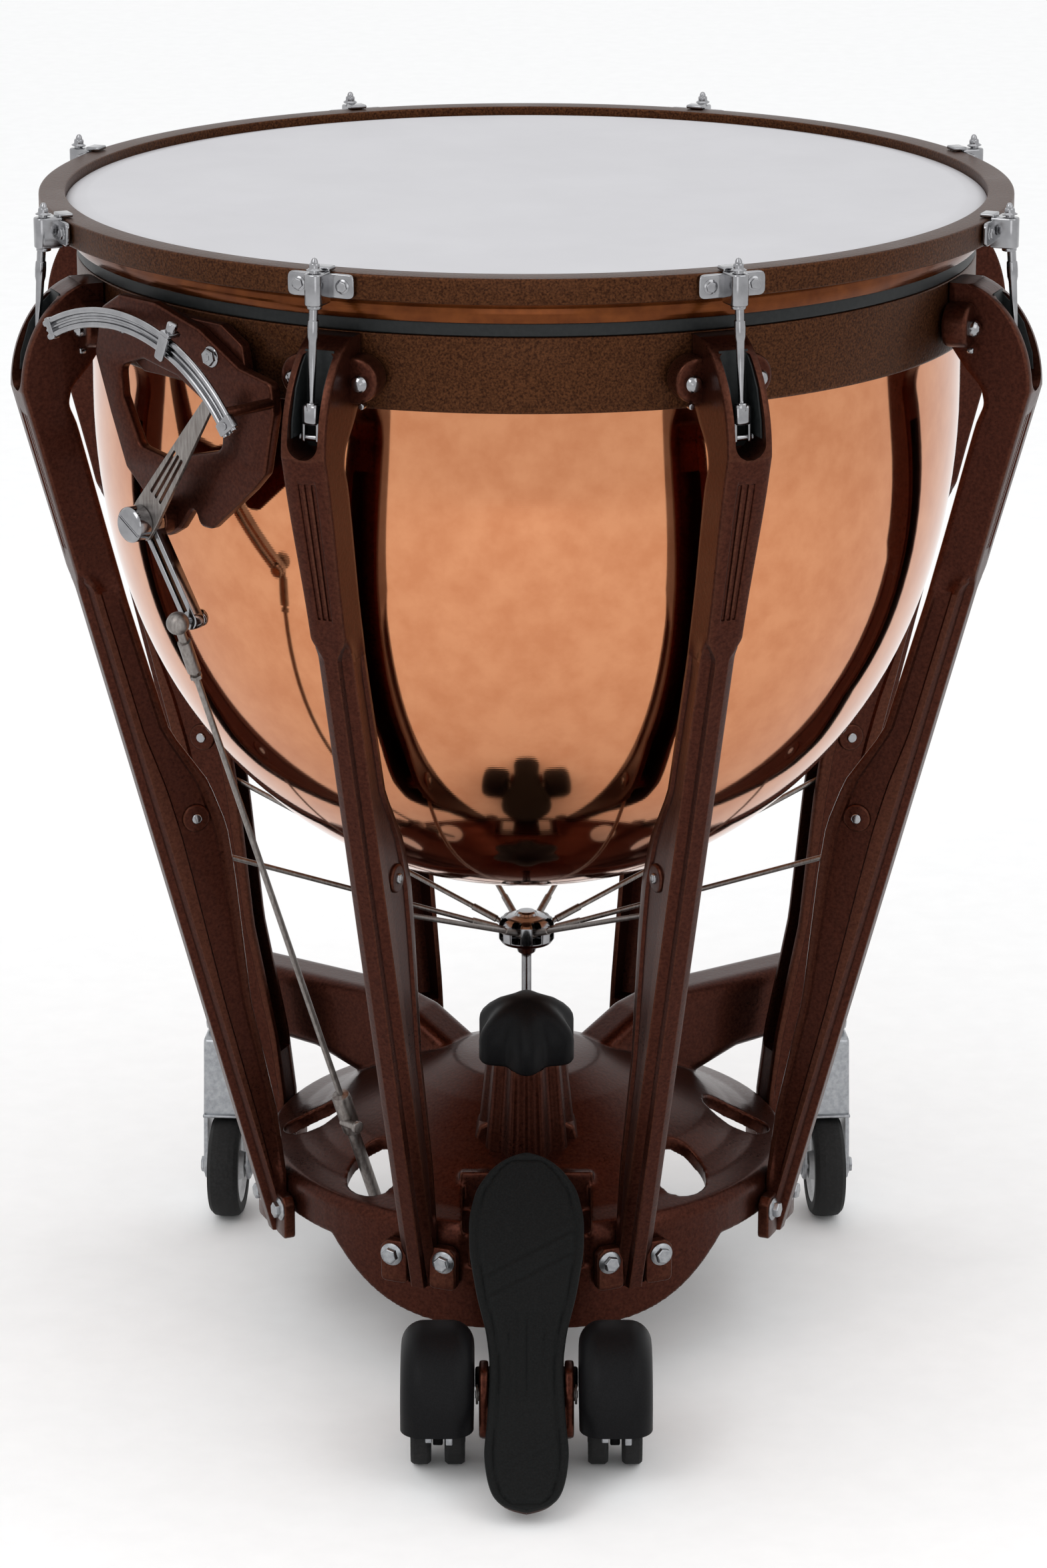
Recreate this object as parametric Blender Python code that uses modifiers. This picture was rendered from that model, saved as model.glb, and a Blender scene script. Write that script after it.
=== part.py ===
"""Pedal timpano, 26 inch: copper bowl in a suspension ring on eight cast struts.

Metres, +Z up, floor at z = 0, drum axis on the Z axis. The pedal points to -Y.
Dimensions below are in millimetres and azimuths in degrees from -Y towards +X, all measured from the drum's axis, which
an empty puts AXIS_Y behind the middle of the footprint.
"""
import math

import bmesh
import bpy
from mathutils import Matrix, Vector

MM = 0.001
GAP = 0.3                      # clearance between touching pieces

# Head, hoops and bowl
HOOP_TOP = 900.0
HOOP_OUT, HOOP_IN, HOOP_H = 366.7, 347.0, 18.5
FLESH_IN, FLESH_OUT, FLESH_BOTTOM = 340.4, 343.6, 863.0
HEAD_Z, FILM = 895.6, 0.5
EDGE_R = 330.2                 # bearing edge: half of 26 inches
BOWL_WALL = 1.8
BOWL_FLANGE_Z = 861.0
BOWL_SHOULDER = 752.0          # the wall starts to curve in below this
BOWL_BOTTOM = 358.0
BOWL_POWER = 2.12              # superellipse exponent of the bowl's section
RING_OUT, RING_IN = 339.5, 331.6
RING_BOTTOM, RING_TOP = 799.0, 853.6
STEPS = 32

# Struts
STRUT_AZ = [22.5 + 45.0 * i for i in range(8)]
STRUT_W_TOP, STRUT_W_LOW = 34.0, 28.0
STRUT_STEP_Z = 614.0           # where the wide fluted half ends
STRUT_LEAN = 0.2676            # outer edge: radial run for each unit of drop
STRUT_OUT_R, STRUT_OUT_Z = 404.0, 776.0
PIN_R, PIN_Z = 277.0, 433.5

# Tension rods and hub
ROD_R, ROD_TIP = 380.0, 908.0
CLEVIS_R, CLEVIS_Z = 387.5, 800.0
HUB_Z, HUB_R = 304.0, 22.0
SPIDER_OUT_R, SPIDER_OUT_Z = 262.0, 401.0

# Base
AXIS_Y = 33.6                  # drum axis behind the middle of the object's footprint
RIM_R, RIM_BOTTOM, RIM_TOP = 208.0, 103.0, 128.0
BASE_WALL = 7.0
DOME_TOP = 202.0
DOME = [(0.0, DOME_TOP), (58.0, DOME_TOP - 3.0), (88.0, DOME_TOP - 14.0), (120.0, 172.0), (146.0, 160.0),
        (166.0, 147.0), (184.0, 139.0), (203.0, 135.0)]
ARM_AZ, ARM_R = 125.5, 303.0
CASTER_X, CASTER_Y = 247.0, 176.0
WHEEL_R, WHEEL_W, TRAIL = 43.0, 26.0, 28.0
CASTER_YAW = 185.0             # the castors trail towards the player
FRONT_X, FRONT_Y, FRONT_R, GUARD_W = 65.8, -333.0, 25.0, 54.0
KNOB_R, KNOB_Y, KNOB_Z, KNOB_TILT = 39.0, -124.0, 262.0, 12.0

# Pedal
PEDAL_PIVOT = (0.0, -346.0, 60.0)
PEDAL_ANGLE = 37.5             # toe-up angle of the plate from level
TOE_LEN, HEEL_LEN = 192.0, 108.0

# Gauge, in its own frame: x outwards from the drum axis, y to the right
GAUGE_AZ = -45.0
GP_R, GP_T, GP_Z = 380.0, -8.0, 703.0
ARC_PLANE, ARC_RADIUS = 402.0, 150.6
POINTER_ANGLE, POINTER_LEN = 53.0, 122.0
CRANK_ANGLE, CRANK_LEN = -55.0, 79.0
MARKER_ANGLE = 68.0
ROD_LOW_R, ROD_LOW_T, ROD_LOW_Z = 190.0, -6.0, 197.0

BROWN = (0.060, 0.028, 0.018)


# ---------------------------------------------------------------- scene helpers
def clear_scene():
    for ob in list(bpy.data.objects):
        bpy.data.objects.remove(ob, do_unlink=True)
    for pool in (bpy.data.meshes, bpy.data.curves, bpy.data.materials):
        for item in list(pool):
            pool.remove(item)
    for coll in list(bpy.data.collections):
        bpy.data.collections.remove(coll)


def collection(name):
    coll = bpy.data.collections.new(name)
    bpy.context.scene.collection.children.link(coll)
    return coll


def material(name, colour, rough, metal):
    mat = bpy.data.materials.new(name)
    mat.use_nodes = True
    shader = mat.node_tree.nodes["Principled BSDF"]
    shader.inputs["Base Color"].default_value = (*colour, 1.0)
    shader.inputs["Roughness"].default_value = rough
    shader.inputs["Metallic"].default_value = metal
    mat.diffuse_color = (*colour, 1.0)
    return mat


def temp(mesh, name="work"):
    ob = bpy.data.objects.new(name, mesh)
    PARTS.objects.link(ob)
    return ob


def baked(ob):
    """Replace an object by a plain mesh of its evaluated shape, in world axes."""
    bpy.context.view_layer.update()
    deps = bpy.context.evaluated_depsgraph_get()
    mesh = bpy.data.meshes.new_from_object(ob.evaluated_get(deps))
    mesh.transform(ob.matrix_world)
    bm = bmesh.new()
    bm.from_mesh(mesh)
    bmesh.ops.remove_doubles(bm, verts=bm.verts, dist=0.00001)
    bmesh.ops.recalc_face_normals(bm, faces=bm.faces)
    bm.to_mesh(mesh)
    bm.free()
    bpy.data.objects.remove(ob, do_unlink=True)
    mesh.materials.clear()
    return temp(mesh)


def finish(ob, name, mat, parent=None, smooth=32.0):
    ob.name = name
    ob.data.name = name
    ob.data.materials.clear()
    ob.data.materials.append(mat)
    ob.data.shade_smooth()
    ob.data.set_sharp_from_angle(angle=math.radians(smooth))
    if parent is not None:
        ob.parent = parent
    return ob


def set_origin(ob, point):
    """Move the object's origin to a point in millimetres without moving its shape."""
    shift = Vector(point) * MM
    ob.data.transform(Matrix.Translation(-shift))
    ob.location = shift
    return ob


def turn(ob, deg, axis="Z", pivot=(0, 0, 0)):
    move = Matrix.Translation(Vector(pivot) * MM)
    ob.data.transform(move @ Matrix.Rotation(math.radians(deg), 4, axis) @ move.inverted())
    return ob


def shift(ob, vec):
    ob.data.transform(Matrix.Translation(Vector(vec) * MM))
    return ob


def to_azimuth(ob, az):
    """Turn a piece modelled along +X so that it stands at an azimuth."""
    return turn(ob, az - 90.0)


# ---------------------------------------------------------------- shape helpers
def lathe(profile, steps=STEPS, closed=False, axis="Z"):
    """Turned solid from (radius, z) points that run down the outer side."""
    mesh = bpy.data.meshes.new("profile")
    count = len(profile)
    edges = [(i, i + 1) for i in range(count - 1)] + ([(count - 1, 0)] if closed else [])
    mesh.from_pydata([(r * MM, 0.0, z * MM) for r, z in profile], edges, [])
    ob = temp(mesh)
    mod = ob.modifiers.new("Screw", "SCREW")
    mod.steps = mod.render_steps = steps
    mod.use_merge_vertices = True
    mod.merge_threshold = 0.00001
    mod.use_smooth_shade = True
    ob = baked(ob)
    if axis == "X":
        turn(ob, 90.0, "Y")
    elif axis == "Y":
        turn(ob, -90.0, "X")
    return ob


def box(size, centre, bevel=0.0, segments=1):
    bm = bmesh.new()
    bmesh.ops.create_cube(bm, size=1.0)
    bmesh.ops.scale(bm, vec=[s * MM for s in size], verts=bm.verts)
    if bevel:
        bmesh.ops.bevel(bm, geom=bm.edges[:], offset=bevel * MM, segments=segments,
                        affect="EDGES", profile=0.5)
    mesh = bpy.data.meshes.new("box")
    bm.to_mesh(mesh)
    bm.free()
    return shift(temp(mesh), centre)


def cylinder(radius, length, centre, axis="Z", sides=16, top=None):
    bm = bmesh.new()
    bmesh.ops.create_cone(bm, cap_ends=True, segments=sides, radius1=radius * MM,
                          radius2=(radius if top is None else top) * MM, depth=length * MM)
    mesh = bpy.data.meshes.new("cylinder")
    bm.to_mesh(mesh)
    bm.free()
    ob = temp(mesh)
    if axis == "X":
        turn(ob, 90.0, "Y")
    elif axis == "Y":
        turn(ob, -90.0, "X")
    return shift(ob, centre)


def ball(radius, centre, segments=12):
    bm = bmesh.new()
    bmesh.ops.create_uvsphere(bm, u_segments=segments, v_segments=segments // 2,
                              radius=radius * MM)
    mesh = bpy.data.meshes.new("ball")
    bm.to_mesh(mesh)
    bm.free()
    return shift(temp(mesh), centre)


def plate(outline, thickness, plane="XZ", holes=()):
    """Flat outline of given thickness, centred on its plane; holes are outlines too."""
    curve = bpy.data.curves.new("outline", "CURVE")
    curve.dimensions = "2D"
    curve.fill_mode = "BOTH"
    curve.extrude = thickness * MM / 2
    for loop in (outline, *holes):
        spline = curve.splines.new("POLY")
        spline.points.add(len(loop) - 1)
        for point, (a, b) in zip(spline.points, loop):
            point.co = (a * MM, b * MM, 0.0, 1.0)
        spline.use_cyclic_u = True
    ob = baked(temp(curve))
    if plane == "XZ":
        turn(ob, 90.0, "X")
    elif plane == "YZ":
        turn(ob, 90.0, "X")
        turn(ob, 90.0, "Z")
    return ob


def rod(points, radius, resolution=1):
    """Round bar through points, with closed ends."""
    curve = bpy.data.curves.new("rod", "CURVE")
    curve.dimensions = "3D"
    curve.bevel_depth = radius * MM
    curve.bevel_resolution = resolution
    curve.use_fill_caps = True
    spline = curve.splines.new("POLY")
    spline.points.add(len(points) - 1)
    for point, co in zip(spline.points, points):
        point.co = (*[c * MM for c in co], 1.0)
    return baked(temp(curve))


def bevel(ob, width, segments=1, angle=35.0):
    mod = ob.modifiers.new("Bevel", "BEVEL")
    mod.width = width * MM
    mod.segments = segments
    mod.limit_method = "ANGLE"
    mod.angle_limit = math.radians(angle)
    mod.miter_outer = "MITER_SHARP"
    return baked(ob)


def combine(ob, others, operation="UNION"):
    """Boolean with each of the other shapes in turn, which are used up."""
    for other in others:
        mod = ob.modifiers.new("Boolean", "BOOLEAN")
        mod.operation = operation
        mod.solver = "EXACT"
        mod.object = other
        result = baked(ob)
        bpy.data.objects.remove(other, do_unlink=True)
        ob = result
    return ob


def cut(ob, others):
    return combine(ob, others, "DIFFERENCE")


def live_cut(ob, cutter, name):
    """Keep a cutter in the cutters collection and cut with a live modifier."""
    PARTS.objects.unlink(cutter)
    CUTTERS.objects.link(cutter)
    cutter.name = name
    cutter.hide_render = True
    cutter.display_type = "WIRE"
    mod = ob.modifiers.new(name, "BOOLEAN")
    mod.operation = "DIFFERENCE"
    mod.solver = "EXACT"
    mod.object = cutter


def copy_to_azimuths(ob, name, mat, azimuths, origin):
    """Share one mesh between copies that stand at each azimuth round the drum."""
    finish(ob, name, mat)
    set_origin(ob, (0, 0, origin))
    for i, az in enumerate(azimuths, 1):
        twin = bpy.data.objects.new(f"{name}_{i}", ob.data)
        twin.location = (0.0, 0.0, origin * MM)
        twin.rotation_euler = (0.0, 0.0, math.radians(az - 90.0))
        PARTS.objects.link(twin)
    bpy.data.objects.remove(ob, do_unlink=True)


def arc(centre, radius, start, end, count):
    return [(centre[0] + radius * math.cos(math.radians(start + (end - start) * i / count)),
             centre[1] + radius * math.sin(math.radians(start + (end - start) * i / count)))
            for i in range(count + 1)]


# ---------------------------------------------------------------- bowl and hoops
def bowl_section(offset, count=9):
    """Points of the bowl's curved wall, from the shoulder down to the axis."""
    depth = BOWL_SHOULDER - BOWL_BOTTOM - offset
    radius = EDGE_R - offset
    points = []
    for i in range(count + 1):
        angle = math.pi / 2 * i / count
        c, s = max(math.cos(angle), 0.0), math.sin(angle)
        points.append((radius * c ** (2 / BOWL_POWER), BOWL_SHOULDER - depth * s ** (2 / BOWL_POWER)))
    points[-1] = (0.0, BOWL_SHOULDER - depth)
    return points


def make_bowl(mat):
    lip = HEAD_Z - FILM - GAP
    outer = [(EDGE_R, lip), (EDGE_R, BOWL_FLANGE_Z + BOWL_WALL),
             (RING_OUT - 1.5, BOWL_FLANGE_Z + BOWL_WALL), (RING_OUT - 1.5, BOWL_FLANGE_Z),
             (EDGE_R, BOWL_FLANGE_Z), *bowl_section(0.0)]
    inner = [*reversed(bowl_section(BOWL_WALL)), (EDGE_R - BOWL_WALL, lip)]
    return finish(lathe(outer + inner, closed=True), "bowl", mat)


def make_rings(brown, black, bronze, film):
    ring = [(RING_OUT, RING_TOP), (RING_OUT, RING_BOTTOM + 3.0), (RING_OUT - 3.0, RING_BOTTOM),
            (RING_IN, RING_BOTTOM), (RING_IN, RING_TOP)]
    finish(lathe(ring, closed=True), "suspension_ring", brown)
    top = BOWL_FLANGE_Z - GAP
    gasket = [(RING_OUT - 0.6, top), (RING_OUT - 0.6, RING_TOP + GAP), (RING_IN, RING_TOP + GAP),
              (RING_IN, top)]
    finish(lathe(gasket, closed=True), "ring_gasket", black)
    seat = HOOP_TOP - HOOP_H - GAP
    flesh = [(FLESH_OUT + 7.0, seat), (FLESH_OUT + 7.0, seat - 2.6), (FLESH_OUT - 0.6, seat - 3.6),
             (FLESH_OUT, (seat + FLESH_BOTTOM) / 2 - 1.5), (FLESH_OUT - 0.9, FLESH_BOTTOM),
             (FLESH_IN, FLESH_BOTTOM), (FLESH_IN, seat)]
    finish(lathe(flesh, closed=True), "flesh_hoop", bronze)
    low = HOOP_TOP - HOOP_H
    hoop = [(HOOP_OUT - 1.5, HOOP_TOP), (HOOP_OUT, HOOP_TOP - 1.5), (HOOP_OUT, low + 1.0),
            (HOOP_OUT - 1.0, low), (HOOP_IN, low), (HOOP_IN, HOOP_TOP - 1.0), (HOOP_IN + 1.0, HOOP_TOP)]
    finish(lathe(hoop, closed=True), "counterhoop", brown)
    wall = HOOP_IN - GAP
    head = [(0.0, HEAD_Z), (EDGE_R, HEAD_Z), (wall, HEAD_Z - 2.4), (wall, seat + 2 * GAP),
            (wall - FILM - 0.3, seat + 2 * GAP), (wall - FILM - 0.3, HEAD_Z - 3.0),
            (EDGE_R, HEAD_Z - FILM), (0.0, HEAD_Z - FILM)]
    finish(lathe(head), "drumhead", film)


# ---------------------------------------------------------------- struts and rods
def outer_r(z):
    return STRUT_OUT_R - STRUT_LEAN * (STRUT_OUT_Z - z)


def strut_outline():
    """Side view of a strut as (radius, z), the arch joining the ring at the top."""
    top = RING_OUT + GAP
    outer = [(top, 853.0), (357.0, 853.0), (371.0, 847.0), (385.0, 834.5), (396.0, 817.0),
             (402.5, 797.0), (404.0, 776.0), (outer_r(300.0), 300.0), (outer_r(96.0), 96.0),
             (outer_r(84.0) - 1.0, 83.0)]
    inner = [(RIM_R + GAP, 83.0), (RIM_R + GAP, 132.0), (215.0, 185.0), (235.0, 280.0),
             (246.0, 385.0), (252.0, 425.0), (266.0, 462.0), (296.0, 505.0), (outer_r(610.0) - 33.0, 610.0),
             (outer_r(750.0) - 34.0, 750.0), (369.0, 764.0), (366.0, 777.0), (352.0, 792.0), (top, 809.0)]
    return outer + inner


def make_struts(mat):
    body = plate(strut_outline(), STRUT_W_TOP)
    low = (STRUT_W_TOP - STRUT_W_LOW) / 2
    for side in (-1, 1):                       # narrower below the fluted half
        y = side * (STRUT_W_LOW / 2 + 10.0)
        cheek = plate([(180.0, 60.0), (450.0, 60.0), (450.0, STRUT_STEP_Z - 22.0),
                       (300.0, STRUT_STEP_Z + 18.0), (180.0, STRUT_STEP_Z + 18.0)], 20.0)
        body = cut(body, [shift(cheek, (0, y, 0))])
    # channel on the inner side for the rods and the crank inside
    drop = 300.0
    channel = plate([(outer_r(740.0) - 45.0, 742.0), (outer_r(742.0) - 9.0, 742.0),
                     (outer_r(170.0) - 9.0, 170.0), (180.0, 170.0), (180.0, drop)], 17.0)
    # slot in the arch for the tension rod and its clevis
    slot = plate([(372.0, 870.0), (420.0, 870.0), (420.0, 771.0), (381.0, 764.0),
                  (372.0, 741.0)], 22.0)
    body = cut(body, [channel, slot])
    extras = []
    for side in (-1, 1):
        # ears on the ring, each with a bolt and a locating pin
        ear = cylinder(15.0, 20.0, (RING_OUT + GAP + 10.4, side * 20.0, 824.0), "X", 12)
        bolt = cylinder(6.2, 9.0, (RING_OUT + 24.0, side * 25.0, 822.0), "X", 6)
        extras += [ear, bolt]
        # foot lugs bolted to the rim
        lug = box((9.0, 22.0, 34.0), (RIM_R + GAP + 4.8, side * 20.0, 101.0))
        hexagon = cylinder(6.6, 8.0, (RIM_R + 12.5, side * 21.5, 107.0), "X", 6)
        extras += [lug, hexagon]
    extras.append(cylinder(4.2, STRUT_W_LOW + 3.0, (PIN_R, 0, PIN_Z), "Y", 8))
    body = combine(body, extras)
    copy_to_azimuths(body, "strut", mat, STRUT_AZ, 0.0)


def make_tension_rods(chrome):
    seat = HOOP_TOP + 2.6
    shaft = lathe([(0.0, ROD_TIP + 4.0), (3.0, ROD_TIP + 2.0), (3.0, seat + 5.0),
                   (7.0, seat + GAP), (3.2, seat + GAP), (3.2, 868.0), (3.9, 867.0),
                   (3.9, 858.0), (1.9, 812.0), (4.8, 811.0), (4.8, 806.0), (0.0, 806.0)], 8)
    lean = math.degrees(math.atan2(CLEVIS_R - ROD_R, HOOP_TOP - CLEVIS_Z))
    barrel = cylinder(3.6, 15.0, (0, 0, 804.0), "Y", 6)
    plates = [box((5.0, 3.0, 24.0), (-1.0, side * 5.2, 793.0)) for side in (-1, 1)]
    pin = cylinder(2.8, 19.0, (-2.0, 0, 785.0), "Y", 6)
    body = combine(shaft, [barrel, *plates, pin])
    turn(body, -lean, "Y", (0, 0, HOOP_TOP))
    shift(body, (ROD_R, 0, 0))
    copy_to_azimuths(body, "tension_rod", chrome, STRUT_AZ, HOOP_TOP)


def make_lugs(chrome):
    face = HOOP_OUT + GAP
    base = box((3.2, 50.0, 18.0), (face + 1.6, 0, HOOP_TOP - 8.6))
    lip = box((11.0, 14.0, 3.4), (face - 2.8, 0, HOOP_TOP + 1.7 + GAP))
    block = box((18.5, 13.5, 24.0), (face + 10.0, 0, HOOP_TOP - 10.1))
    screws = [cylinder(3.4, 2.6, (face + 3.8, side * 18.0, HOOP_TOP - 8.6), "X", 6)
              for side in (-1, 1)]
    body = combine(base, [block, *screws, lip])
    lean = math.degrees(math.atan2(CLEVIS_R - ROD_R, HOOP_TOP - CLEVIS_Z))
    bore = turn(cylinder(3.6, 60.0, (0, 0, HOOP_TOP - 10.0), "Z", 8), -lean, "Y", (0, 0, HOOP_TOP))
    body = cut(body, [shift(bore, (ROD_R, 0, 0))])
    copy_to_azimuths(body, "rod_lug", chrome, STRUT_AZ, HOOP_TOP)


def make_spider(steel, chrome):
    wire = rod([(14.0, 0, HUB_Z), (SPIDER_OUT_R, 0, SPIDER_OUT_Z)], 2.1, 0)
    eye = cylinder(4.6, 9.0, (SPIDER_OUT_R, 0, SPIDER_OUT_Z), "Y", 6)
    inner = cylinder(3.6, 7.0, (14.0, 0, HUB_Z), "Y", 6)
    body = combine(wire, [eye, inner])
    finish(body, "spider_rod", steel)
    set_origin(body, (14.0, 0, HUB_Z))
    for i, az in enumerate(STRUT_AZ, 1):
        twin = bpy.data.objects.new(f"spider_rod_{i}", body.data)
        a = math.radians(az - 90.0)
        twin.location = (14.0 * MM * math.cos(a), 14.0 * MM * math.sin(a), HUB_Z * MM)
        twin.rotation_euler = (0.0, 0.0, a)
        PARTS.objects.link(twin)
    bpy.data.objects.remove(body, do_unlink=True)
    hub = lathe([(0.0, HUB_Z + 15.0), (8.0, HUB_Z + 15.0), (9.0, HUB_Z + 12.0),
                 (HUB_R - 2.0, HUB_Z + 9.0), (HUB_R, HUB_Z + 6.0), (HUB_R, HUB_Z - 8.0),
                 (HUB_R - 5.0, HUB_Z - 12.0), (8.0, HUB_Z - 15.0), (7.0, HUB_Z - 19.0),
                 (4.0, HUB_Z - 21.0), (4.0, 150.0), (0.0, 150.0)], 16)
    slots = []
    for az in STRUT_AZ:
        slot = box((20.0, 8.0, 18.0), (18.0, 0, HUB_Z + 1.5))
        slots.append(to_azimuth(slot, az))
    finish(set_origin(cut(hub, slots), (0, 0, HUB_Z)), "spider_hub", chrome)


# ---------------------------------------------------------------- base
def make_base(mat):
    outer = [*DOME, (RIM_R, RIM_TOP), (RIM_R, RIM_BOTTOM)]
    inner = [(RIM_R - BASE_WALL, RIM_BOTTOM), (RIM_R - BASE_WALL, 124.0), (181.0, 128.0), (161.0, 137.0),
             (141.0, 151.0), (116.0, 162.0), (82.0, 179.0), (54.0, DOME_TOP - 13.0), (0.0, DOME_TOP - 13.0)]
    dome = lathe(outer + inner, 32)
    # apron that drops at the front, its lower edge an arch in front view
    apron = lathe([(RIM_R, RIM_BOTTOM + 6.0), (RIM_R, 55.0), (RIM_R - BASE_WALL, 55.0),
                   (RIM_R - BASE_WALL, RIM_BOTTOM + 6.0)], 32, closed=True)
    edge = [(153.0, 106.0), (140.0, 86.0), (124.0, 72.0), (102.0, 61.0), (78.0, 54.0), (40.0, 50.0)]
    keep = plate([(-157.0, 112.0), (157.0, 112.0), *edge, *[(-x, z) for x, z in reversed(edge)]], 140.0)
    apron = combine(apron, [shift(keep, (0, -170.0, 0))], "INTERSECT")
    dome = combine(dome, [apron])
    # two rear arms, each a beam that rises out of the dome to a castor
    for side in (-1, 1):
        side_view = [(60.0, 195.0), (100.0, 218.0), (140.0, 228.0), (ARM_R, 226.0),
                     (ARM_R + 16.0, 218.0), (ARM_R + 16.0, 178.0), (ARM_R - 24.0, 168.0),
                     (200.0, 165.0), (150.0, 150.0), (60.0, 178.0)]
        arm = to_azimuth(bevel(plate(side_view, 44.0), 6.0, 1, 50.0), side * ARM_AZ)
        boss = cylinder(19.0, 8.0, (side * CASTER_X, CASTER_Y, 171.0), "Z", 16)
        dome = combine(dome, [arm, boss])
    # front recess for the pedal, and the neck that carries its pivot
    dome = cut(dome, [box((98.0, 120.0, 140.0), (0, -212.0, 100.0))])
    neck = plate([(-148.0, 160.0), (-154.0, 120.0), (-200.0, 62.0), (-300.0, 45.0), (-352.0, 41.0),
                  (-356.0, 30.0), (-300.0, 28.0), (-200.0, 40.0), (-140.0, 90.0), (-140.0, 160.0)],
                 46.0, "YZ")
    dome = combine(dome, [bevel(neck, 2.0)])
    for side in (-1, 1):
        wing = plate([(side * 43.0, -150.0), (side * 56.0, -150.0), (side * 56.0, -198.5),
                      (side * 43.0, -202.0)], 70.0, "XY")
        web = box((32.0, 10.0, 16.0), (side * 36.0, -196.0, 64.0))
        cheek = plate([(-372.0, 34.0), (-330.0, 30.0), (-322.0, 44.0), (-328.0, 78.0), (-340.0, 86.0),
                       (-358.0, 84.0), (-370.0, 68.0)], 7.0, "YZ")
        foot = box((20.0, 34.0, 10.0), (side * 24.0, -346.0, 36.0))
        dome = combine(dome, [shift(wing, (0, 0, 92.0)), web, foot,
                              shift(bevel(cheek, 1.2), (side * 31.5, 0, 0))])
    dome = cut(dome, [cylinder(5.3, 100.0, PEDAL_PIVOT, "X", 12),
                      cylinder(5.0, 80.0, (0, 0, DOME_TOP - 10.0), "Z", 12)])
    finish(dome, "base_casting", mat)
    for i, az in enumerate((-45.0, 45.0, -88.0, 88.0, -157.5, 157.5)):
        hole = cylinder(21.0, 70.0, (0, 0, 0), "Z", 14)
        hole.data.transform(Matrix.Diagonal((1.38, 1.0, 1.0, 1.0)))
        turn(hole, 16.0, "Y")
        hole = to_azimuth(shift(hole, (167.0, 0, 147.0)), az)
        live_cut(dome, hole, f"window_{i + 1}")


def knob_axis(ob):
    """Tilt a piece built round the vertical at the knob towards the player."""
    return turn(ob, KNOB_TILT, "X", (0, KNOB_Y, KNOB_Z))


def make_knob(black, brown):
    lobes = 6
    outline = []
    for i in range(36):
        a = math.radians(10.0 * i)
        r = KNOB_R - 4.5 + 4.5 * math.cos(lobes * a)
        outline.append((r * math.sin(a), r * math.cos(a)))
    body = plate(outline, 25.0, "XY")
    dome = lathe([(0.0, 23.0), (13.0, 21.5), (22.0, 17.0), (27.5, 9.0), (27.5, 0.0), (0.0, 0.0)], 16)
    body = combine(shift(body, (0, 0, -4.5)), [turn(dome, 3.1)])
    stem = cylinder(8.0, 30.0, (0, 0, -27.0), "Z", 12)
    body = shift(combine(body, [stem]), (0, KNOB_Y, KNOB_Z))
    finish(set_origin(knob_axis(body), (0, KNOB_Y, KNOB_Z)), "tension_knob", black)
    # fluted tube with two side cheeks
    fluted = []
    for i in range(40):
        a = 2 * math.pi * i / 40
        r = 29.0 + 1.6 * math.cos(10 * a)
        fluted.append((r * math.cos(a), r * math.sin(a)))
    tube = plate(fluted, 84.0, "XY")
    for v in tube.data.vertices:               # slight flare towards the base
        flare = 1.0 + 0.0032 * (42.0 - v.co.z / MM)
        v.co.x *= flare
        v.co.y *= flare
    cheeks = [plate([(side * 28.0, -42.0), (side * 46.0, -42.0), (side * 46.0, -8.0),
                     (side * 40.0, 2.0), (side * 28.0, 8.0)], 24.0) for side in (-1, 1)]
    tube = combine(tube, cheeks)
    tube = cut(tube, [cylinder(9.0, 60.0, (0, 0, 32.0), "Z", 16)])
    make_housing(knob_axis(shift(tube, (0, KNOB_Y, KNOB_Z - 59.0))), brown)


def make_housing(tube, brown):
    """Seat the spring housing on the dome: cut it to the casting with a gap."""
    floor = lathe([*[(r, z + GAP) for r, z in DOME], (240.0, 120.0), (240.0, 60.0), (0.0, 60.0)])
    tube = cut(tube, [floor])
    finish(set_origin(tube, (0, KNOB_Y, KNOB_Z - 40.0)), "spring_housing", brown)


# ---------------------------------------------------------------- pedal and wheels
def pedal_outline(grow=0.0):
    """Foot-shaped outline: y runs from the heel (negative) to the toe, x is half width."""
    stations = [(-HEEL_LEN, 0.0), (-HEEL_LEN + 5.0, 18.0), (-HEEL_LEN + 18.0, 27.5),
                (-HEEL_LEN + 46.0, 31.5), (-HEEL_LEN + 72.0, 28.8), (-6.0, 27.4), (18.0, 27.4), (40.0, 30.0),
                (70.0, 37.0), (106.0, 43.0), (136.0, 43.5), (160.0, 38.0), (178.0, 26.0),
                (TOE_LEN - 2.0, 10.0), (TOE_LEN, 0.0)]
    right = [(x + grow if x else 0.0, y + (grow if y > 0 else -grow) * (1 if x < 20 else 0))
             for y, x in stations]
    left = [(-x, y) for x, y in reversed(right[1:-1])]
    return right + left


def pedal_place(ob, lift):
    """Raise a flat piece above the pivot, then tilt it toe-up about the pivot."""
    shift(ob, (0, 0, lift))
    turn(ob, PEDAL_ANGLE, "X")
    return shift(ob, PEDAL_PIVOT)


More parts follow.
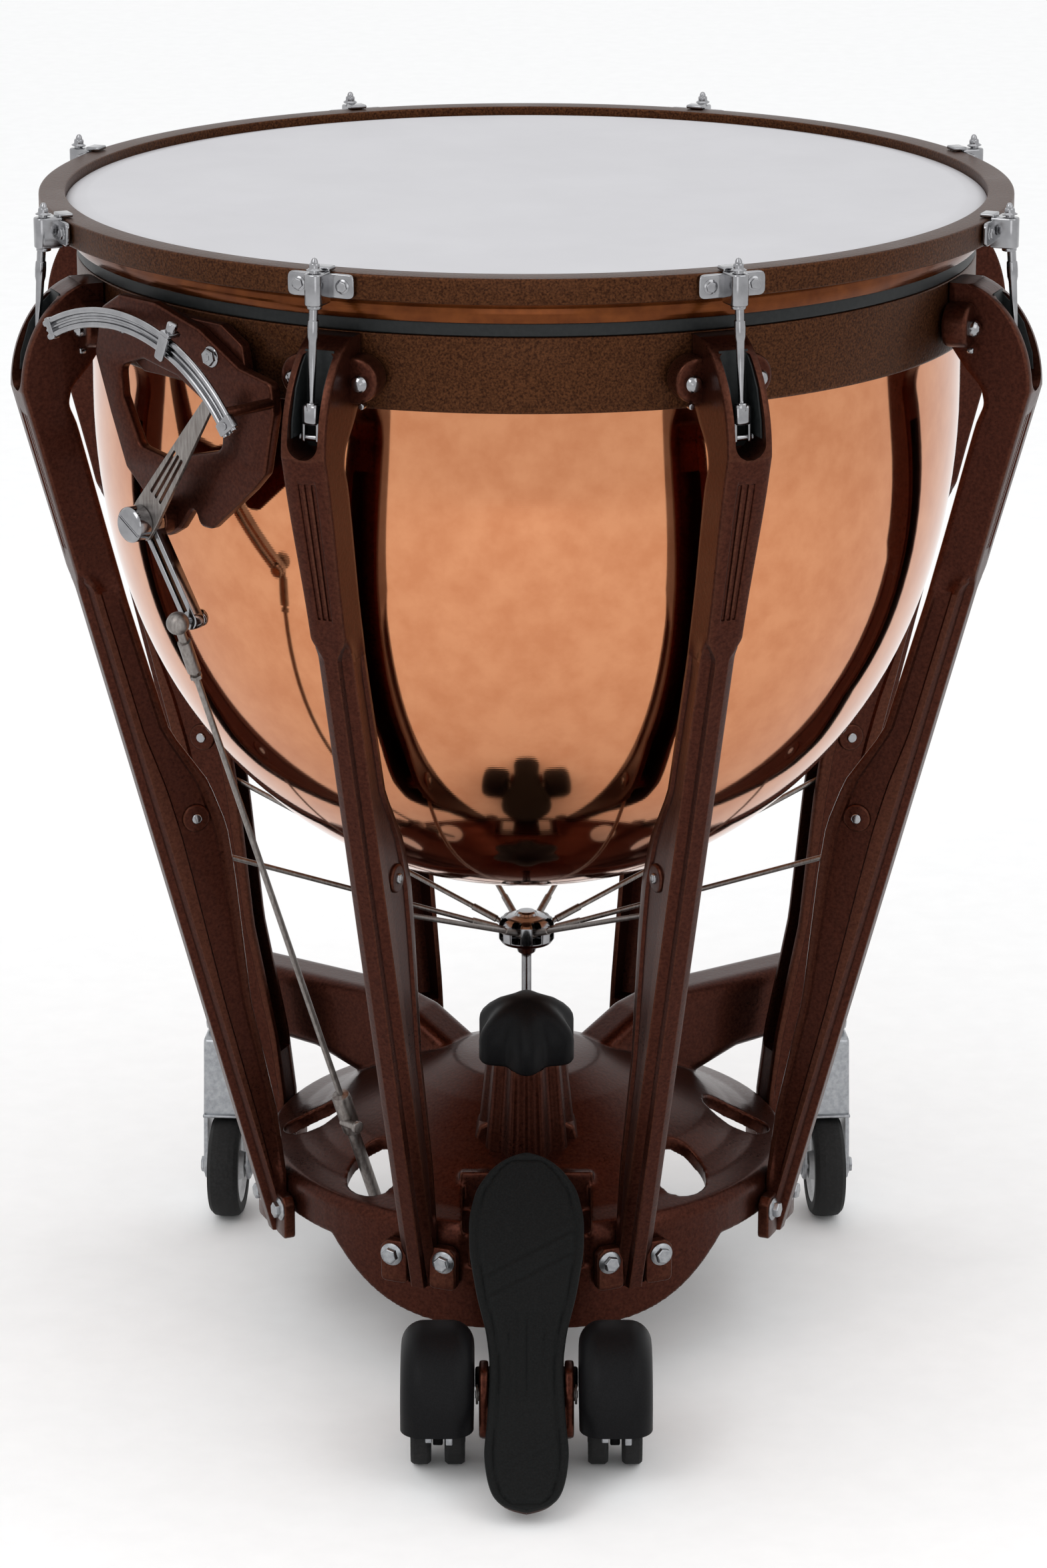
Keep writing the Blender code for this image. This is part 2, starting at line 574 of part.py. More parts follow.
def make_pedal(metal, rubber, steel):
    body = bevel(plate(pedal_outline(-2.0), 7.0, "XY"), 1.5, 1, 50.0)
    lug = plate([(-13.0, -10.0), (13.0, -10.0), (20.0, 16.0), (-20.0, 16.0)], 50.0, "YZ")
    rib = plate([(0.0, 12.0), (170.0, 14.0), (170.0, 9.0), (60.0, -4.0), (0.0, -4.0)], 9.0, "YZ")
    body = combine(shift(body, (0, 0, 17.0)), [rib, lug])
    body = cut(body, [cylinder(5.3, 80.0, (0, 0, 0), "X", 12)])
    body = pedal_place(body, 0.0)
    finish(set_origin(body, PEDAL_PIVOT), "pedal_plate", metal)
    cover = bevel(plate(pedal_outline(), 6.0, "XY"), 1.6, 1, 50.0)
    cover = pedal_place(shift(cover, (0, 0, 23.5 + GAP)), 0.0)
    finish(set_origin(cover, PEDAL_PIVOT), "pedal_rubber", rubber)
    pin = cylinder(4.9, 74.0, (0, 0, 0), "X", 12)
    ends = [cylinder(7.5, 1.8, (side * 36.6, 0, 0), "X", 12) for side in (-1, 1)]
    pin = shift(combine(pin, ends), PEDAL_PIVOT)
    finish(set_origin(pin, PEDAL_PIVOT), "pedal_axle", steel)


def make_front(black, rubber, grey):
    """Cross bar, rounded wheel guards and the dual wheels under them."""
    bar = box((2 * (FRONT_X - GUARD_W / 2 - GAP), 15.0, 13.0), (0, FRONT_Y + 30.0, 54.0), 1.5)
    finish(set_origin(bar, (0, FRONT_Y + 30.0, 54.0)), "front_axle", grey)
    for side, name in ((-1, "left"), (1, "right")):
        x = side * FRONT_X
        section = [(FRONT_Y - 55.5, 44.0), *arc((FRONT_Y, 53.0), 56.0, 174.0, 14.0, 9),
                   (FRONT_Y + 53.0, 50.0)]
        guard = bevel(plate(section, GUARD_W, "YZ"), 8.0, 1, 50.0)
        wells = [cylinder(FRONT_R + 8.0, 18.0, (i * 13.0, FRONT_Y, FRONT_R + 3.0), "X", 16)
                 for i in (-1, 1)]
        guard = cut(guard, wells)
        web = plate([(FRONT_Y - 12.0, 60.0), (FRONT_Y - 7.0, 16.0), (FRONT_Y + 7.0, 16.0),
                     (FRONT_Y + 12.0, 60.0)], 7.4, "YZ")
        guard = combine(guard, [web])
        guard = cut(guard, [cylinder(3.6, 30.0, (0, FRONT_Y, FRONT_R), "X", 10)])
        finish(set_origin(shift(guard, (x, 0, 0)), (x, FRONT_Y, 60.0)), f"front_guard_{name}", black)
        half = [(FRONT_R - 2.0, -20.5), (FRONT_R, -18.0), (FRONT_R, -5.0), (3.1, -5.0), (3.1, 5.0),
                (FRONT_R, 5.0), (FRONT_R, 18.0), (FRONT_R - 2.0, 20.5)]
        wheel = lathe([(0.0, 20.5), *reversed(half), (0.0, -20.5)], 16, axis="X")
        shift(wheel, (x, FRONT_Y, FRONT_R))
        finish(set_origin(wheel, (x, FRONT_Y, FRONT_R)), f"front_wheel_{name}", rubber)


def make_casters(zinc, rubber):
    for side, name in ((-1, "left"), (1, "right")):
        head = cylinder(21.0, 12.0, (0, 0, 160.5 - GAP), "Z", 16)
        yoke = plate([(-26.0, 154.5), (26.0, 154.5), (30.0, 120.0), (35.0, 88.0), (TRAIL + 12.0, WHEEL_R),
                      (TRAIL + 7.0, WHEEL_R - 11.0), (TRAIL - 7.0, WHEEL_R - 11.0),
                      (TRAIL - 14.0, WHEEL_R + 2.0), (-24.0, 118.0)], 39.0, "YZ")
        yoke = bevel(yoke, 2.0)
        yoke = cut(yoke, [box((32.0, 160.0, 70.0), (0, TRAIL, 53.0)),
                          box((32.0, 110.0, 64.0), (0, -32.0, 116.0))])   # leaves a web at the front
        pin = cylinder(4.0, 45.0, (0, TRAIL, WHEEL_R), "X", 10)
        fork = combine(head, [yoke, pin])
        section = [(WHEEL_R - 4.0, 13.0), (WHEEL_R, 8.0), (WHEEL_R, -8.0), (WHEEL_R - 4.0, -13.0),
                   (30.0, -13.0), (28.0, -9.0), (12.0, -9.0), (11.0, -14.0), (4.4, -14.0),
                   (4.4, 14.0), (11.0, 14.0), (12.0, 9.0), (28.0, 9.0), (30.0, 13.0)]
        wheel = shift(lathe(section, 20, closed=True, axis="X"), (0, TRAIL, WHEEL_R))
        for ob, at, node, mat in ((fork, (0, 0, 160.0), "rear_fork", zinc),
                                  (wheel, (0, TRAIL, WHEEL_R), "rear_wheel", rubber)):
            turn(ob, side * CASTER_YAW)
            yaw = math.radians(side * CASTER_YAW)
            x = side * CASTER_X - at[1] * math.sin(yaw)
            y = CASTER_Y + at[1] * math.cos(yaw)
            shift(ob, (side * CASTER_X, CASTER_Y, 0))
            finish(set_origin(ob, (x, y, at[2])), f"{node}_{name}", mat)


# ---------------------------------------------------------------- tuning gauge
def gauge_polar(angle, radius, at=(GP_T, GP_Z)):
    a = math.radians(angle)
    return at[0] + radius * math.cos(a), at[1] + radius * math.sin(a)


def gauge_plate(outline, r0, r1, holes=()):
    """Plate between two radial distances; outlines are (right, up) pairs."""
    return shift(plate(outline, r1 - r0, "YZ", holes), ((r0 + r1) / 2, 0, 0))


def gauge_bar(angle, start, end, width, offset, r0, r1):
    """Straight bar along a direction from the gauge's pivot, shifted sideways."""
    c, s = math.cos(math.radians(angle)), math.sin(math.radians(angle))
    corners = [(start, offset - width / 2), (end, offset - width / 2), (end, offset + width / 2),
               (start, offset + width / 2)]
    return gauge_plate([(GP_T + a * c - b * s, GP_Z + a * s + b * c) for a, b in corners], r0, r1)


def place_gauge(ob, name, mat, origin=(GP_R, GP_T, GP_Z)):
    to_azimuth(ob, GAUGE_AZ)
    a = math.radians(GAUGE_AZ - 90.0)
    world = (origin[0] * math.cos(a) - origin[1] * math.sin(a),
             origin[0] * math.sin(a) + origin[1] * math.cos(a), origin[2])
    return finish(set_origin(ob, world), name, mat)


def make_gauge(brown, chrome, steel):
    # bracket: pad on the ring, webbed plate, boss for the pivot
    pad = gauge_plate([(-56.0, 812.0), (-48.0, 842.0), (-20.0, 850.0), (44.0, 850.0), (66.0, 838.0),
                       (70.0, 818.0), (56.0, 803.0), (-40.0, 803.0)], RING_OUT + GAP, RING_OUT + 9.0)
    body = gauge_plate([(-84.0, 812.0), (-76.0, 846.0), (-56.0, 858.0), (-17.0, 858.0), (30.0, 846.0),
                        (72.0, 824.0), (106.0, 818.0), (108.0, 796.0), (98.0, 752.0), (84.0, 738.0),
                        (40.0, 702.0), (28.0, 702.0), (22.0, 716.0), (6.0, 696.0), (-8.0, 688.0),
                        (-24.0, 694.0), (-30.0, 714.0), (-52.0, 732.0), (-68.0, 770.0)],
                       RING_OUT + 8.5, RING_OUT + 18.0,
                       [[(-56.0, 806.0), (-31.0, 815.0), (6.0, 808.0), (54.0, 784.0), (53.0, 762.0),
                         (-8.0, 746.0), (-36.0, 750.0), (-54.0, 784.0)]])
    front = RING_OUT + 18.0
    boss = cylinder(12.0, 12.0, (front + 5.0, GP_T, GP_Z), "X", 12)
    posts = []
    for angle in (111.0, 42.0):
        t, z = gauge_polar(angle, ARC_RADIUS)
        posts.append(cylinder(4.0, ARC_PLANE - 3.3 - front + 2.0,
                              ((front - 2.0 + ARC_PLANE - 3.3) / 2, t, z), "X", 8))
    screw = cylinder(7.0, 6.0, (RING_OUT + 20.0, 44.0, 828.0), "X", 8)
    body = combine(pad, [body, boss, *posts, screw])
    body = cut(body, [cylinder(4.4, 40.0, (front + 3.0, GP_T, GP_Z), "X", 10)])
    place_gauge(body, "gauge_bracket", brown)
    # double-rail arc with end blocks
    pieces = []
    for radius in (ARC_RADIUS - 5.5, ARC_RADIUS + 5.5):
        rail = [gauge_polar(119.0 - 83.0 * i / 16, radius) for i in range(17)]
        pieces.append(rod([(ARC_PLANE, t, z) for t, z in rail], 2.4, 0))
    for angle, width in ((117.0, 5.0), (38.5, 9.0), (78.0, 3.0)):
        inner, outer = ARC_RADIUS - 8.5, ARC_RADIUS + 8.5
        half = math.degrees(width / ARC_RADIUS / 2)
        pieces.append(gauge_plate([gauge_polar(angle - half, inner), gauge_polar(angle - half, outer),
                                   gauge_polar(angle + half, outer), gauge_polar(angle + half, inner)],
                                  ARC_PLANE - 2.9, ARC_PLANE + 3.0))
    place_gauge(combine(pieces[0], pieces[1:]), "gauge_scale", chrome)
    # marker that rides over the rails on a fork
    half = math.degrees(6.0 / ARC_RADIUS)
    angle = MARKER_ANGLE
    quad = [gauge_polar(angle - half, ARC_RADIUS - 13.0), gauge_polar(angle - half, ARC_RADIUS + 13.0),
            gauge_polar(angle + half, ARC_RADIUS + 13.0), gauge_polar(angle + half, ARC_RADIUS - 13.0)]
    block = gauge_plate(quad, ARC_PLANE + 3.4, ARC_PLANE + 6.0)
    t, z = gauge_polar(angle, ARC_RADIUS + 10.8)
    tab = turn(box((12.0, 9.0, 3.2), (0, 0, 0)), angle - 90.0, "X")
    stud = turn(cylinder(4.2, 9.0, (0, 0, 4.0), "Z", 10), angle - 90.0, "X")
    block = combine(block, [shift(tab, (ARC_PLANE + 0.0, t, z)), shift(stud, (ARC_PLANE, t, z))])
    place_gauge(block, "note_marker", chrome)
    # pointer with its slotted pivot knob
    c, s = math.cos(math.radians(POINTER_ANGLE)), math.sin(math.radians(POINTER_ANGLE))

    def along(a, b):
        return GP_T + a * c - b * s, GP_Z + a * s + b * c
    blade = [along(-8.0, -13.0), along(10.0, -13.0), along(POINTER_LEN, -5.0),
             along(POINTER_LEN + 3.0, 0.0), along(POINTER_LEN, 5.0), along(10.0, 13.0), along(-8.0, 13.0)]
    slots = [[along(26.0, b - 1.2), along(70.0, b * 0.8 - 1.2), along(70.0, b * 0.8 + 1.2),
              along(26.0, b + 1.2)] for b in (-5.6, 0.0, 5.6)]
    blade = gauge_plate(blade, GP_R - 2.0, GP_R + 1.4, slots)
    knob = lathe([(0.0, 14.0), (11.0, 14.0), (13.0, 12.0), (13.0, 2.0), (12.0, 1.0), (0.0, 1.0)], 18,
                 axis="X")
    groove = turn(box((4.0, 40.0, 2.4), (0, 0, 0)), -32.0, "X")
    knob = cut(shift(knob, (GP_R, GP_T, GP_Z)), [shift(groove, (GP_R + 14.5, GP_T, GP_Z))])
    shaft = cylinder(4.0, GP_R - 2.0 - RING_OUT - 12.0, ((GP_R + RING_OUT + 12.0) / 2, GP_T, GP_Z), "X", 10)
    place_gauge(combine(blade, [knob, shaft]), "gauge_pointer", steel)
    # double-bar crank on the same pivot
    r0, r1 = front + 11.0 + GAP, GP_R - 2.0 - GAP
    bars = [gauge_bar(CRANK_ANGLE, 6.0, CRANK_LEN, 4.6, b, r0, r1) for b in (-4.6, 4.6)]
    ring = shift(cylinder(12.0, r1 - r0, (0, 0, 0), "X", 16), ((r0 + r1) / 2, GP_T, GP_Z))
    t, z = gauge_polar(CRANK_ANGLE, CRANK_LEN)
    eye = cylinder(7.0, r1 - r0 + 0.4, ((r0 + r1) / 2, t, z), "X", 12)
    pin = cylinder(2.6, 26.0, (r1 + 5.0, t, z), "X", 8)
    cap = ball(6.4, (r0 - 1.0, t, z), 12)
    crank = combine(ring, [*bars, eye, cap, pin])
    crank = cut(crank, [cylinder(4.4, 30.0, ((r0 + r1) / 2, GP_T, GP_Z), "X", 10)])
    place_gauge(crank, "gauge_crank", steel)
    # rod from the crank's ball joint down through the base window
    top = Vector((388.0, t, z))
    low = Vector((ROD_LOW_R, ROD_LOW_T, ROD_LOW_Z))
    way = (low - top).normalized()

    def at(dist):
        return tuple(top + way * dist)
    head = ball(8.6, tuple(top), 12)
    full = (low - top).length
    pieces = [rod([at(6.0), at(16.0)], 3.6), rod([at(15.0), at(44.0)], 5.2, 1),
              rod([at(43.0), at(full - 20.0)], 2.4), rod([at(full - 22.0), at(full + 18.0)], 7.4, 2),
              rod([at(full + 16.0), at(full + 92.0)], 5.0, 1)]
    screw = cylinder(3.4, 20.0, (at(full + 6.0)[0] + 6.0, at(full + 6.0)[1] + 8.0, at(full + 6.0)[2]),
                     "Y", 8)
    link = combine(head, [*pieces, screw])
    link = cut(link, [cylinder(2.9, 40.0, tuple(top), "X", 8)])
    place_gauge(link, "gauge_rod", steel, tuple(top))


def place_on_axis():
    """Hang every piece on one empty that stands where the drum's axis meets the floor."""
    axis = bpy.data.objects.new("drum_axis", None)
    PARTS.objects.link(axis)
    for ob in [*PARTS.objects, *CUTTERS.objects]:
        if ob is not axis:
            ob.parent = axis
    axis.location = (0.0, AXIS_Y * MM, 0.0)


def build():
    brown = material("hammertone_brown", BROWN, 0.42, 0.35)
    chrome = material("chrome", (0.62, 0.62, 0.63), 0.12, 1.0)
    steel = material("grey_steel", (0.32, 0.31, 0.30), 0.32, 1.0)
    copper = material("copper", (0.62, 0.29, 0.16), 0.14, 1.0)
    bronze = material("bronze_band", (0.26, 0.10, 0.03), 0.16, 0.7)
    film = material("head_film", (0.66, 0.66, 0.67), 0.45, 0.0)
    black = material("black_plastic", (0.012, 0.012, 0.013), 0.5, 0.0)
    rubber = material("black_rubber", (0.014, 0.015, 0.015), 0.7, 0.0)
    tyre = material("tyre", (0.02, 0.02, 0.02), 0.75, 0.0)
    zinc = material("zinc", (0.50, 0.51, 0.52), 0.3, 1.0)
    make_bowl(copper)
    make_rings(brown, rubber, bronze, film)
    make_struts(brown)
    make_tension_rods(chrome)
    make_lugs(chrome)
    make_spider(steel, chrome)
    make_base(brown)
    make_knob(black, brown)
    make_pedal(brown, rubber, steel)
    make_front(black, tyre, black)
    make_casters(zinc, tyre)
    make_gauge(brown, chrome, steel)
    place_on_axis()


clear_scene()
PARTS = collection("pedal_timpano")
CUTTERS = collection("cutters")
build()
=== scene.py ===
"""Pedal timpano, 26 inch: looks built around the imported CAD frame.

Shapes are made in millimetres round the drum's axis, with azimuths in degrees from the pedal (-Y) towards +X,
and are then moved onto the frame's own axis, which is read from the bowl's box.
"""

import math

import bmesh
import bpy
import numpy as np
from mathutils import Matrix, Vector


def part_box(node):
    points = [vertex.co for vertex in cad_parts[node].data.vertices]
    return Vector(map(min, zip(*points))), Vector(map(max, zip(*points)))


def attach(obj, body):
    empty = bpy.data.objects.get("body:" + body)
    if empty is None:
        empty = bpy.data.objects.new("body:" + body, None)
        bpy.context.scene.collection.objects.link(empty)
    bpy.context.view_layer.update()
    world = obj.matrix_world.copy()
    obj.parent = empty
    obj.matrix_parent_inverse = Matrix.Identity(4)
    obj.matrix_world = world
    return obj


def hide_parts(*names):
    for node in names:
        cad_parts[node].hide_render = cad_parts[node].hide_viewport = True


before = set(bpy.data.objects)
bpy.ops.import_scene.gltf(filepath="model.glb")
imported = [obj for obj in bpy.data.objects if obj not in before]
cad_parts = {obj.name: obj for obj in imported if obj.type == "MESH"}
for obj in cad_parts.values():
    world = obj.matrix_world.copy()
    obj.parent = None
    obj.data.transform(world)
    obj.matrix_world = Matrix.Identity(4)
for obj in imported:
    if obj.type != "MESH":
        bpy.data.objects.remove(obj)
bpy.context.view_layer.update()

MM = 0.001
BOWL_LOW, BOWL_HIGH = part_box("bowl")
AXIS = Vector(((BOWL_LOW.x + BOWL_HIGH.x) / 2, (BOWL_LOW.y + BOWL_HIGH.y) / 2, 0.0))

# Head, hoops and bowl
HOOP_TOP, HOOP_OUT, HOOP_IN, HOOP_H = 900.0, 366.7, 347.0, 18.5
FLESH_IN, FLESH_OUT, FLESH_BOTTOM = 340.4, 343.6, 863.0
HEAD_Z, FILM, EDGE_R = 895.6, 0.5, 330.2
BOWL_WALL, BOWL_FLANGE_Z, BOWL_SHOULDER, BOWL_BOTTOM, BOWL_POWER = 1.8, 861.0, 752.0, 358.0, 2.12
RING_OUT, RING_IN, RING_BOTTOM, RING_TOP = 339.5, 331.6, 799.0, 853.6
GAP = 0.3
ROUND, CURVE_STEPS = 192, 40   # steps round the drum, levels of the bowl

# Struts, rods and hub
STRUT_AZ = [22.5 + 45.0 * i for i in range(8)]
STRUT_HALF, STRUT_HALF_LOW, STRUT_RIB = 17.0, 13.4, 5.6
STEP_TOP, STEP_LOW = 638.0, 618.0
STRUT_LEAN, STRUT_OUT_R, STRUT_OUT_Z = 0.2676, 404.0, 776.0
STRUT_TOP, STRUT_FOOT = 853.0, 83.0
PIN_R, PIN_Z = 277.0, 433.5
ROD_R, CLEVIS_R, CLEVIS_Z = 380.0, 387.5, 800.0
ROD_LEAN = math.degrees(math.atan2(CLEVIS_R - ROD_R, HOOP_TOP - CLEVIS_Z))
HUB_Z, HUB_R, SPIDER_OUT_R, SPIDER_OUT_Z = 304.0, 22.0, 262.0, 401.0

# Base, castors and pedal; the knob is drawn a little larger than its CAD node
RIM_R, RIM_BOTTOM, BASE_WALL, DOME_TOP, SKIRT_LOW = 208.0, 103.0, 7.0, 202.0, 50.0
ARM_AZ, ARM_R = 125.5, 303.0
CASTER_X, CASTER_Y, WHEEL_R, TRAIL, CASTER_YAW = 247.0, 176.0, 43.0, 28.0, 185.0
FRONT_X, FRONT_Y, FRONT_R, GUARD_W = 65.8, -333.0, 25.0, 54.0
KNOB_R, KNOB_Y, KNOB_Z, KNOB_TILT = 40.8, -124.0, 262.0, 12.0
WINDOW_R, WINDOW_AT, WINDOW_Z, FRONT_WINDOW_AT = 21.0, 167.0, 147.0, 118.0
PEDAL_PIVOT, PEDAL_ANGLE, TOE_LEN, HEEL_LEN = (0.0, -346.0, 60.0), 37.5, 192.0, 108.0

# Gauge
GAUGE_AZ, GP_R, GP_T, GP_Z = -45.0, 380.0, -8.0, 703.0
ARC_PLANE, ARC_RADIUS, POINTER_ANGLE, POINTER_LEN = 402.0, 150.6, 53.0, 122.0
CRANK_ANGLE, CRANK_LEN, MARKER_ANGLE = -55.0, 79.0, 68.0
ROD_LOW = (190.0, -6.0, 197.0)


# ---------------------------------------------------------------- mesh helpers
def linked(data, name="work"):
    ob = bpy.data.objects.new(name, data)
    bpy.context.scene.collection.objects.link(ob)
    return ob


def clean(mesh, distance):
    """Merge doubled points and turn the faces outwards."""
    bm = bmesh.new()
    bm.from_mesh(mesh)
    bmesh.ops.remove_doubles(bm, verts=bm.verts, dist=distance)
    bmesh.ops.recalc_face_normals(bm, faces=bm.faces)
    bm.to_mesh(mesh)
    bm.free()


def mesh_object(verts, faces, fix=True):
    """Object from points in millimetres, with outward normals."""
    mesh = bpy.data.meshes.new("work")
    mesh.from_pydata([(x * MM, y * MM, z * MM) for x, y, z in verts], [], faces)
    if fix:
        clean(mesh, 1e-6)
    return linked(mesh)


def baked(ob):
    """Replace an object by a plain mesh of its evaluated shape."""
    bpy.context.view_layer.update()
    mesh = bpy.data.meshes.new_from_object(ob.evaluated_get(bpy.context.evaluated_depsgraph_get()))
    mesh.transform(ob.matrix_world)
    mesh.materials.clear()
    out = linked(mesh)
    bpy.data.objects.remove(ob, do_unlink=True)
    return out


def move(ob, vec):
    ob.data.transform(Matrix.Translation(Vector(vec) * MM))
    return ob


def turn(ob, deg, axis="Z", pivot=(0, 0, 0)):
    shift = Matrix.Translation(Vector(pivot) * MM)
    ob.data.transform(shift @ Matrix.Rotation(math.radians(deg), 4, axis) @ shift.inverted())
    return ob


def to_azimuth(ob, az):
    return turn(ob, az - 90.0)


def join(obs):
    """One mesh from several closed shapes."""
    bm = bmesh.new()
    for ob in obs:
        bm.from_mesh(ob.data)
        bpy.data.objects.remove(ob, do_unlink=True)
    mesh = bpy.data.meshes.new("work")
    bm.to_mesh(mesh)
    bm.free()
    return linked(mesh)


def boolean(ob, others, operation="UNION"):
    for other in others:
        mod = ob.modifiers.new("Boolean", "BOOLEAN")
        mod.operation = operation
        mod.solver = "EXACT"
        mod.object = other
        ob = baked(ob)
        bpy.data.objects.remove(other, do_unlink=True)
    return ob


def soften(ob, voxel, rounds=4):
    """Cast look: remesh at a voxel size in millimetres and relax the edges."""
    mod = ob.modifiers.new("Remesh", "REMESH")
    mod.mode = "VOXEL"
    mod.voxel_size = voxel * MM
    smooth = ob.modifiers.new("Smooth", "SMOOTH")
    smooth.factor = 0.5
    smooth.iterations = rounds
    return baked(ob)


def rounded(points, radius, closed=True, steps=4):
    """Outline with each corner replaced by an arc; radius may be a list, one for each corner."""
    count, out = len(points), []
    for i, here in enumerate(points):
        r = radius[i] if isinstance(radius, (list, tuple)) else radius
        if r <= 0 or (not closed and i in (0, count - 1)):
            out.append(here)
            continue
        p = Vector(here)
        a, b = Vector(points[i - 1]) - p, Vector(points[(i + 1) % count]) - p
        angle = a.angle(b)
        if angle > math.radians(175):
            out.append(here)
            continue
        back = min(r / math.tan(angle / 2), a.length * 0.49, b.length * 0.49)
        start, end = p + a.normalized() * back, p + b.normalized() * back
        for k in range(steps + 1):
            f = k / steps
            q = start * (1 - f) ** 2 + p * 2 * f * (1 - f) + end * f ** 2
            out.append((q.x, q.y))
    return out


def lathe(profile, steps=128, axis="Z"):
    """Turned solid: a closed (radius, z) outline, or one that starts and ends on the axis."""
    on_axis = profile[0][0] < 1e-6
    verts, faces, rows = [], [], []
    for r, z in profile:
        if r < 1e-6:
            rows.append([len(verts)] * steps)
            verts.append((0.0, 0.0, z))
        else:
            rows.append(list(range(len(verts), len(verts) + steps)))
            verts += [(r * math.cos(2 * math.pi * k / steps), r * math.sin(2 * math.pi * k / steps), z)
                      for k in range(steps)]
    last = len(rows) - 1 if on_axis else len(rows)
    for i in range(last):
        a, b = rows[i], rows[(i + 1) % len(rows)]
        for k in range(steps):
            m = (k + 1) % steps
            face = list(dict.fromkeys((a[k], a[m], b[m], b[k])))
            if len(face) > 2:
                faces.append(face)
    ob = mesh_object(verts, faces)
    if axis == "X":
        turn(ob, 90.0, "Y")
    elif axis == "Y":
        turn(ob, -90.0, "X")
    return ob


def loft(sections):
    """Closed solid through rings of points that have the same count."""
    count = len(sections[0])
    verts = [p for ring in sections for p in ring]
    faces = [(i * count + k, i * count + (k + 1) % count, (i + 1) * count + (k + 1) % count,
              (i + 1) * count + k) for i in range(len(sections) - 1) for k in range(count)]
    last = (len(sections) - 1) * count
    faces += [tuple(range(count)), tuple(range(last, last + count))]
    return mesh_object(verts, faces)


def plate(outline, thickness, plane="XZ", holes=(), edge=0.8, fineness=2):
    """Flat outline with rounded edges, centred on its plane; holes are outlines too."""
    curve = bpy.data.curves.new("outline", "CURVE")
    curve.dimensions = "2D"
    curve.fill_mode = "BOTH"
    curve.extrude = (thickness / 2 - edge) * MM
    curve.bevel_depth = edge * MM
    curve.bevel_resolution = fineness
    curve.offset = -edge * MM
    for loop in (outline, *holes):
        spline = curve.splines.new("POLY")
        spline.points.add(len(loop) - 1)
        for point, (a, b) in zip(spline.points, loop):
            point.co = (a * MM, b * MM, 0.0, 1.0)
        spline.use_cyclic_u = True
    ob = baked(linked(curve))
    clean(ob.data, 2e-6)
    if plane == "XZ":
        turn(ob, 90.0, "X")
    elif plane == "YZ":
        turn(ob, 90.0, "X")
        turn(ob, 90.0, "Z")
    return ob


def block(size, centre, edge=1.0, fineness=2):
    """Box with rounded edges."""
    x, y, z = size
    corner = min(edge * 1.2, x * 0.45, y * 0.45)
    outline = rounded([(-x / 2, -y / 2), (x / 2, -y / 2), (x / 2, y / 2), (-x / 2, y / 2)], corner, steps=3)
    return move(plate(outline, z, "XY", edge=min(edge, z * 0.45), fineness=fineness), centre)


def disc(radius, length, centre, axis="Z", edge=0.6, steps=40):
    """Cylinder with rounded rims."""
    h = length / 2
    profile = [(0.0, h), (radius, h), (radius, -h), (0.0, -h)]
    return move(lathe(rounded(profile, [0, edge, edge, 0], False, 3), steps, axis), centre)


def tube(points, radius, radii=None, fineness=3):
    """Round bar through points; radii scale it at each point."""
    curve = bpy.data.curves.new("bar", "CURVE")
    curve.dimensions = "3D"
    curve.bevel_depth = radius * MM
    curve.bevel_resolution = fineness
    curve.use_fill_caps = True
    spline = curve.splines.new("POLY")
    spline.points.add(len(points) - 1)
    for i, co in enumerate(points):
        spline.points[i].co = (*[c * MM for c in co], 1.0)
        if radii:
            spline.points[i].radius = radii[i]
    return baked(linked(curve))


def hex_bolt(radius, height, centre, axis="X", flange=0.0, socket=False):
    """Hexagon head on a washer, its face chamfered, with a socket if asked."""
    six = [(radius * math.cos(math.radians(60 * k + 15)), radius * math.sin(math.radians(60 * k + 15)))
           for k in range(6)]
    head = move(plate(rounded(six, 0.6), height, "XY", edge=height * 0.18), (0, 0, height / 2))
    parts = [head]
    if flange:
        rim = [(0.0, height * 0.45), (radius * 0.9, height * 0.42), (flange, height * 0.2), (flange, 0.0),
               (0.0, 0.0)]
        parts.append(lathe(rounded(rim, 0.4, False, 2), 40))
    if socket:
        parts.append(disc(radius * 0.45, 0.8, (0, 0, height + 0.1), edge=0.3, steps=6))
    ob = join(parts)
    if axis == "X":
        turn(ob, 90.0, "Y")
    elif axis == "Y":
        turn(ob, 90.0, "X")
    return move(ob, centre)


# ---------------------------------------------------------------- materials
def add(tree, kind, inputs=None, **props):
    node = tree.nodes.new(kind)
    for key, value in props.items():
        setattr(node, key, value)
    for key, value in (inputs or {}).items():
        if isinstance(value, bpy.types.NodeSocket):
            tree.links.new(value, node.inputs[key])
        else:
            node.inputs[key].default_value = value
    return node


def ramp(tree, factor, stops):
    node = add(tree, "ShaderNodeValToRGB", {"Fac": factor})
    elements = node.color_ramp.elements
    while len(elements) < len(stops):
        elements.new(0.5)
    for element, (position, colour) in zip(elements, stops):
        element.position = position
        element.color = (*colour, 1.0) if len(colour) == 3 else colour
    return node.outputs["Color"]


def grey(value):
    return (value, value, value)


